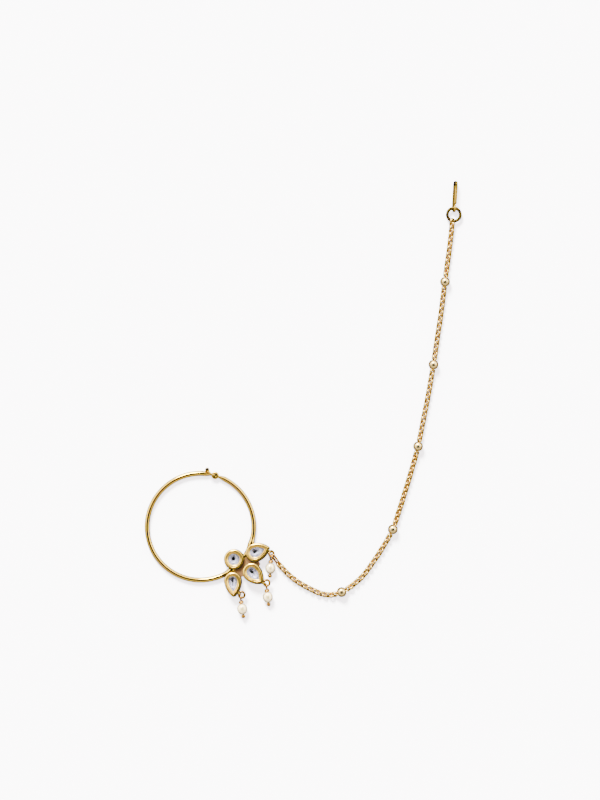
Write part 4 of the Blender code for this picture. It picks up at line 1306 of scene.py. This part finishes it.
class JEWEL_OT_chain(Operator):
    """Interlocked belcher links in six stretches, and the long oval ring before them."""

    bl_idname = "jewel.chain"
    bl_label = "Chain"

    def execute(self, context):
        sizes = context.scene.jewel_links
        curve = route_curve()
        _, ways, beads = curve
        self.oval(curve)
        link_radius = (sizes.diameter - sizes.wire) / 2
        eye_reach = BEAD_EYE_REACH + BEAD_EYE_RADIUS
        in_eye = eye_reach - (BEAD_EYE_WIRE + sizes.wire) / 2 - LINK_PLAY + link_radius
        centre, direction, _ = oval_axes(curve)
        oval_end = centre + direction * (OVAL_LENGTH - OVAL_WIRE) / 2
        past_start = (oval_end - route_point(curve, 0.0)).dot(direction)
        first = past_start + link_radius - (OVAL_WIRE + sizes.wire) / 2
        in_ring = END_RING_OUTER_DIAMETER / 2 - END_RING_WIRE - sizes.wire / 2 - LINK_PLAY + link_radius
        last = ways[-1] + END_RING_OUTER_DIAMETER / 2 + CHAIN_END_GAP - in_ring
        starts = [first] + [bead + in_eye for bead in beads]
        ends = [bead - in_eye for bead in beads] + [last]
        for index, (start, end) in enumerate(zip(starts, ends), 1):
            gaps = ceil((end - start) / (sizes.pitch + LINK_SLACK))
            if index > 1 and gaps % 2:
                gaps += 1
            roll = sizes.roll if gaps % 2 == 0 else -sizes.roll
            string_links(curve, index, start, end, gaps + 1, roll)
        return {"FINISHED"}

    def oval(self, curve):
        """Long oval ring."""
        centre, direction, upright = oval_axes(curve)
        straight = (OVAL_LENGTH - OVAL_WIDTH) / 2
        radius = (OVAL_WIDTH - OVAL_WIRE) / 2
        points = []
        for sense in (1, -1):
            middle = centre + direction * straight * sense
            points += circle(middle, upright * sense, direction * sense, radius, count=25, turn=180.0)
        shell = Shell()
        shell.wire(points, OVAL_WIRE / 2, upright.cross(direction), sides=16, closed=True)
        shell.finish("long_ring", "orange_gold", ["oval_ring"])


class JEWEL_OT_beads(Operator):
    """Polished gold beads on their hidden pins."""

    bl_idname = "jewel.beads"
    bl_label = "Beads"

    def execute(self, context):
        curve = route_curve()
        profile = drilled_profile(BEAD_DIAMETER, BEAD_DIAMETER, BEAD_BORE, steps=32, lip=BEAD_LIP)
        for index, way in enumerate(curve[2], 1):
            centre, direction, aslant = bead_axes(curve, way)
            shell = Shell()
            drilled_shell(shell, centre, direction, profile, around=64)
            shell.finish(f"gold_bead_{index}", "bead_gold", [f"bead_{index}"])
            shell = Shell()
            for sense in (-1, 1):
                shell.ring(centre + direction * BEAD_EYE_REACH * sense, direction, aslant, BEAD_EYE_RADIUS,
                           BEAD_EYE_WIRE, steps=32, sides=12)
            half = direction * (BEAD_EYE_REACH - BEAD_EYE_RADIUS)
            shell.wire([centre - half, centre + half], BEAD_PIN_WIRE / 2, UP, sides=12)
            shell.finish(f"eye_pin_{index}", "rose_gold", [f"bead_pin_{index}"])
        return {"FINISHED"}


class JEWEL_OT_hair_hook(Operator):
    """Round end ring and the hook of bent wire."""

    bl_idname = "jewel.hair_hook"
    bl_label = "End ring and hair hook"

    def execute(self, context):
        radius = (END_RING_OUTER_DIAMETER - END_RING_WIRE) / 2
        shell = Shell()
        shell.ring(end_ring_centre(), EAST, NORTH, radius, END_RING_WIRE, steps=96, sides=24,
                   crevice=0.93)
        shell.finish("round_end_ring", "aged_gold", ["end_ring"])

        way = bearing(HAIR_HOOK_BEARING)
        upright = Matrix.Rotation(radians(HAIR_HOOK_LEAN), 3, way) @ UP
        loop_radius = (HAIR_HOOK_WIRE + END_RING_WIRE) / 2 + LINK_GAP
        eye = end_ring_centre() + way * radius
        bend = (HAIR_HOOK_GAP + HAIR_HOOK_WIRE) / 2
        straight = HAIR_HOOK_LENGTH - bend - HAIR_HOOK_WIRE / 2 - loop_radius
        low = eye - upright * loop_radius
        top = low + way * straight
        leg_steps, top_steps, dark_steps, back_steps = 24, 25, 19, 16
        # Painted shade along the lower leg, over the round top, just past it and on the tip's end
        leg_shade, top_shade, past_shade = HAIR_HOOK_SHADE
        points = [low + way * straight * step / leg_steps for step in range(leg_steps)]
        dark_depth = [leg_shade] * leg_steps
        points += circle(top + upright * bend, -upright, way, bend, top_steps, turn=180.0)
        dark_depth += [top_shade] * dark_steps + [past_shade] * (top_steps - dark_steps)
        back = top + upright * 2 * bend
        returned = straight - HAIR_HOOK_OPENING
        points += [back - way * returned * step / back_steps for step in range(1, back_steps)]
        dark_depth += [max(0.0, past_shade - 0.3 * step) for step in range(1, back_steps)]
        radii = [HAIR_HOOK_WIRE / 2] * len(points)
        tip = back - way * (returned - HAIR_HOOK_WIRE / 2)
        for angle in (0.0, 25.0, 50.0, 70.0, 85.0):
            turn = radians(angle)
            points.append(tip - way * HAIR_HOOK_WIRE / 2 * sin(turn))
            radii.append(HAIR_HOOK_WIRE / 2 * cos(turn))
            dark_depth.append(0.2 + 0.7 * sin(turn))
        shell = Shell()
        shell.wire(points, radii, upright, sides=24, shade_and_tarnish_values=dark_depth)
        shell.ring(eye, way, upright, loop_radius, HAIR_HOOK_WIRE, steps=56, sides=20, crevice=0.3)
        shell.finish("wire_hair_hook", "aged_gold", ["hair_hook"])
        return {"FINISHED"}


class JEWEL_OT_studio(Operator):
    """Pale floor, soft light and the camera straight above."""

    bl_idname = "jewel.studio"
    bl_label = "Studio"

    def execute(self, context):
        studio = context.scene.jewel_studio
        floor = self.floor()
        self.sun("floor_lamp", [floor], "INCLUDE")
        self.sun("lamp", [floor], "EXCLUDE")
        gems = [piece for piece in context.scene.objects if piece.name.startswith(GEM_NAMES)]
        self.sun("gem_lamp", gems, "INCLUDE")
        self.tent(studio.sky)
        self.camera(studio.lens)
        return {"FINISHED"}

    def floor(self):
        """Wide board under the jewel."""
        corners = [(-1, -1), (1, -1), (1, 1), (-1, 1)]
        mesh = bpy.data.meshes.new("floor")
        mesh.from_pydata([(x * FLOOR_REACH, y * FLOOR_REACH, 0) for x, y in corners], [], [(0, 1, 2, 3)])
        mesh.materials.append(floor_paper())
        floor = add_object("floor", mesh)
        return floor

    def sun(self, name, targets, state):
        """Soft sun that lights only some objects, or everything but them."""
        width, towards = LAMPS[name]
        data = bpy.data.lights.new(name, "SUN")
        data.energy = getattr(bpy.context.scene.jewel_studio, name)
        data.angle = radians(width)
        lamp = add_object(name, data)
        lamp.rotation_euler = Vector(towards).to_track_quat("-Z", "Y").to_euler()
        receivers = bpy.data.collections.new(f"{name}_receivers")
        for target in targets:
            receivers.objects.link(target)
        for linked in receivers.collection_objects:
            linked.light_linking.link_state = state
        lamp.light_linking.receiver_collection = receivers

    def tent(self, strength):
        """White tent: a dark ceiling above, a bright box at the back and plain walls at the sides."""
        world = bpy.data.worlds.new("tent")
        bpy.context.scene.world = world
        world.use_nodes = True
        nodes = Nodes(world.node_tree)
        around = nodes.add("ShaderNodeTexCoord").outputs["Generated"]
        way = nodes.add("ShaderNodeSeparateXYZ", {0: around}).outputs
        front, back = [
            nodes.ramp(way["Z"], [(height, [grey * share for share in TENT_TINT]) for height, grey in band])
            for band in TENT_BANDS]
        behind = nodes.ease(way["Y"], -0.25, 0.35)
        nodes.feed(world.node_tree.nodes["Background"],
                   {"Color": nodes.mix(behind, front, back), "Strength": strength})

    def camera(self, lens):
        """Long lens that looks straight down."""
        data = bpy.data.cameras.new("camera")
        data.sensor_fit = "VERTICAL"
        data.sensor_height = SENSOR_HEIGHT
        data.lens = lens
        data.clip_start = 0.05
        data.clip_end = 10.0
        camera = add_object("camera", data)
        camera.location = PICTURE_CENTRE + UP * PICTURE_HEIGHT * lens / SENSOR_HEIGHT
        bpy.context.scene.camera = camera


OPERATORS = (JEWEL_OT_hoop, JEWEL_OT_settings, JEWEL_OT_stones, JEWEL_OT_drops, JEWEL_OT_chain,
             JEWEL_OT_beads, JEWEL_OT_hair_hook, JEWEL_OT_studio)
PROPERTIES = {"jewel_gold": GoldProperties, "jewel_links": LinkProperties, "jewel_gems": GemProperties,
              "jewel_studio": StudioProperties}


class JEWEL_PT_sidebar(Panel):
    """Pieces of the jewel, with their sizes and colours."""

    bl_idname = "JEWEL_PT_sidebar"
    bl_label = "Nose ring with chain"
    bl_space_type = "VIEW_3D"
    bl_region_type = "UI"
    bl_category = "Jewel"

    def draw(self, context):
        layout = self.layout
        for operator in OPERATORS:
            layout.operator(operator.bl_idname)
        for name, group_class in PROPERTIES.items():
            box = layout.box()
            for key in group_class.__annotations__:
                box.prop(getattr(context.scene, name), key)


def register():
    """Add the properties, operators and panel to Blender."""
    for name, group_class in PROPERTIES.items():
        bpy.utils.register_class(group_class)
        setattr(bpy.types.Scene, name, PointerProperty(type=group_class))
    for operator in OPERATORS:
        bpy.utils.register_class(operator)
    bpy.utils.register_class(JEWEL_PT_sidebar)


def unregister():
    """Take them away again."""
    bpy.utils.unregister_class(JEWEL_PT_sidebar)
    for operator in reversed(OPERATORS):
        bpy.utils.unregister_class(operator)
    for name, group_class in PROPERTIES.items():
        delattr(bpy.types.Scene, name)
        bpy.utils.unregister_class(group_class)


def main():
    """Dress the jewel and set the stage."""
    register()
    bpy.ops.jewel.hoop()
    bpy.ops.jewel.settings()
    bpy.ops.jewel.stones()
    bpy.ops.jewel.drops()
    bpy.ops.jewel.chain()
    bpy.ops.jewel.beads()
    bpy.ops.jewel.hair_hook()
    bpy.ops.jewel.studio()


if __name__ == "__main__":
    main()
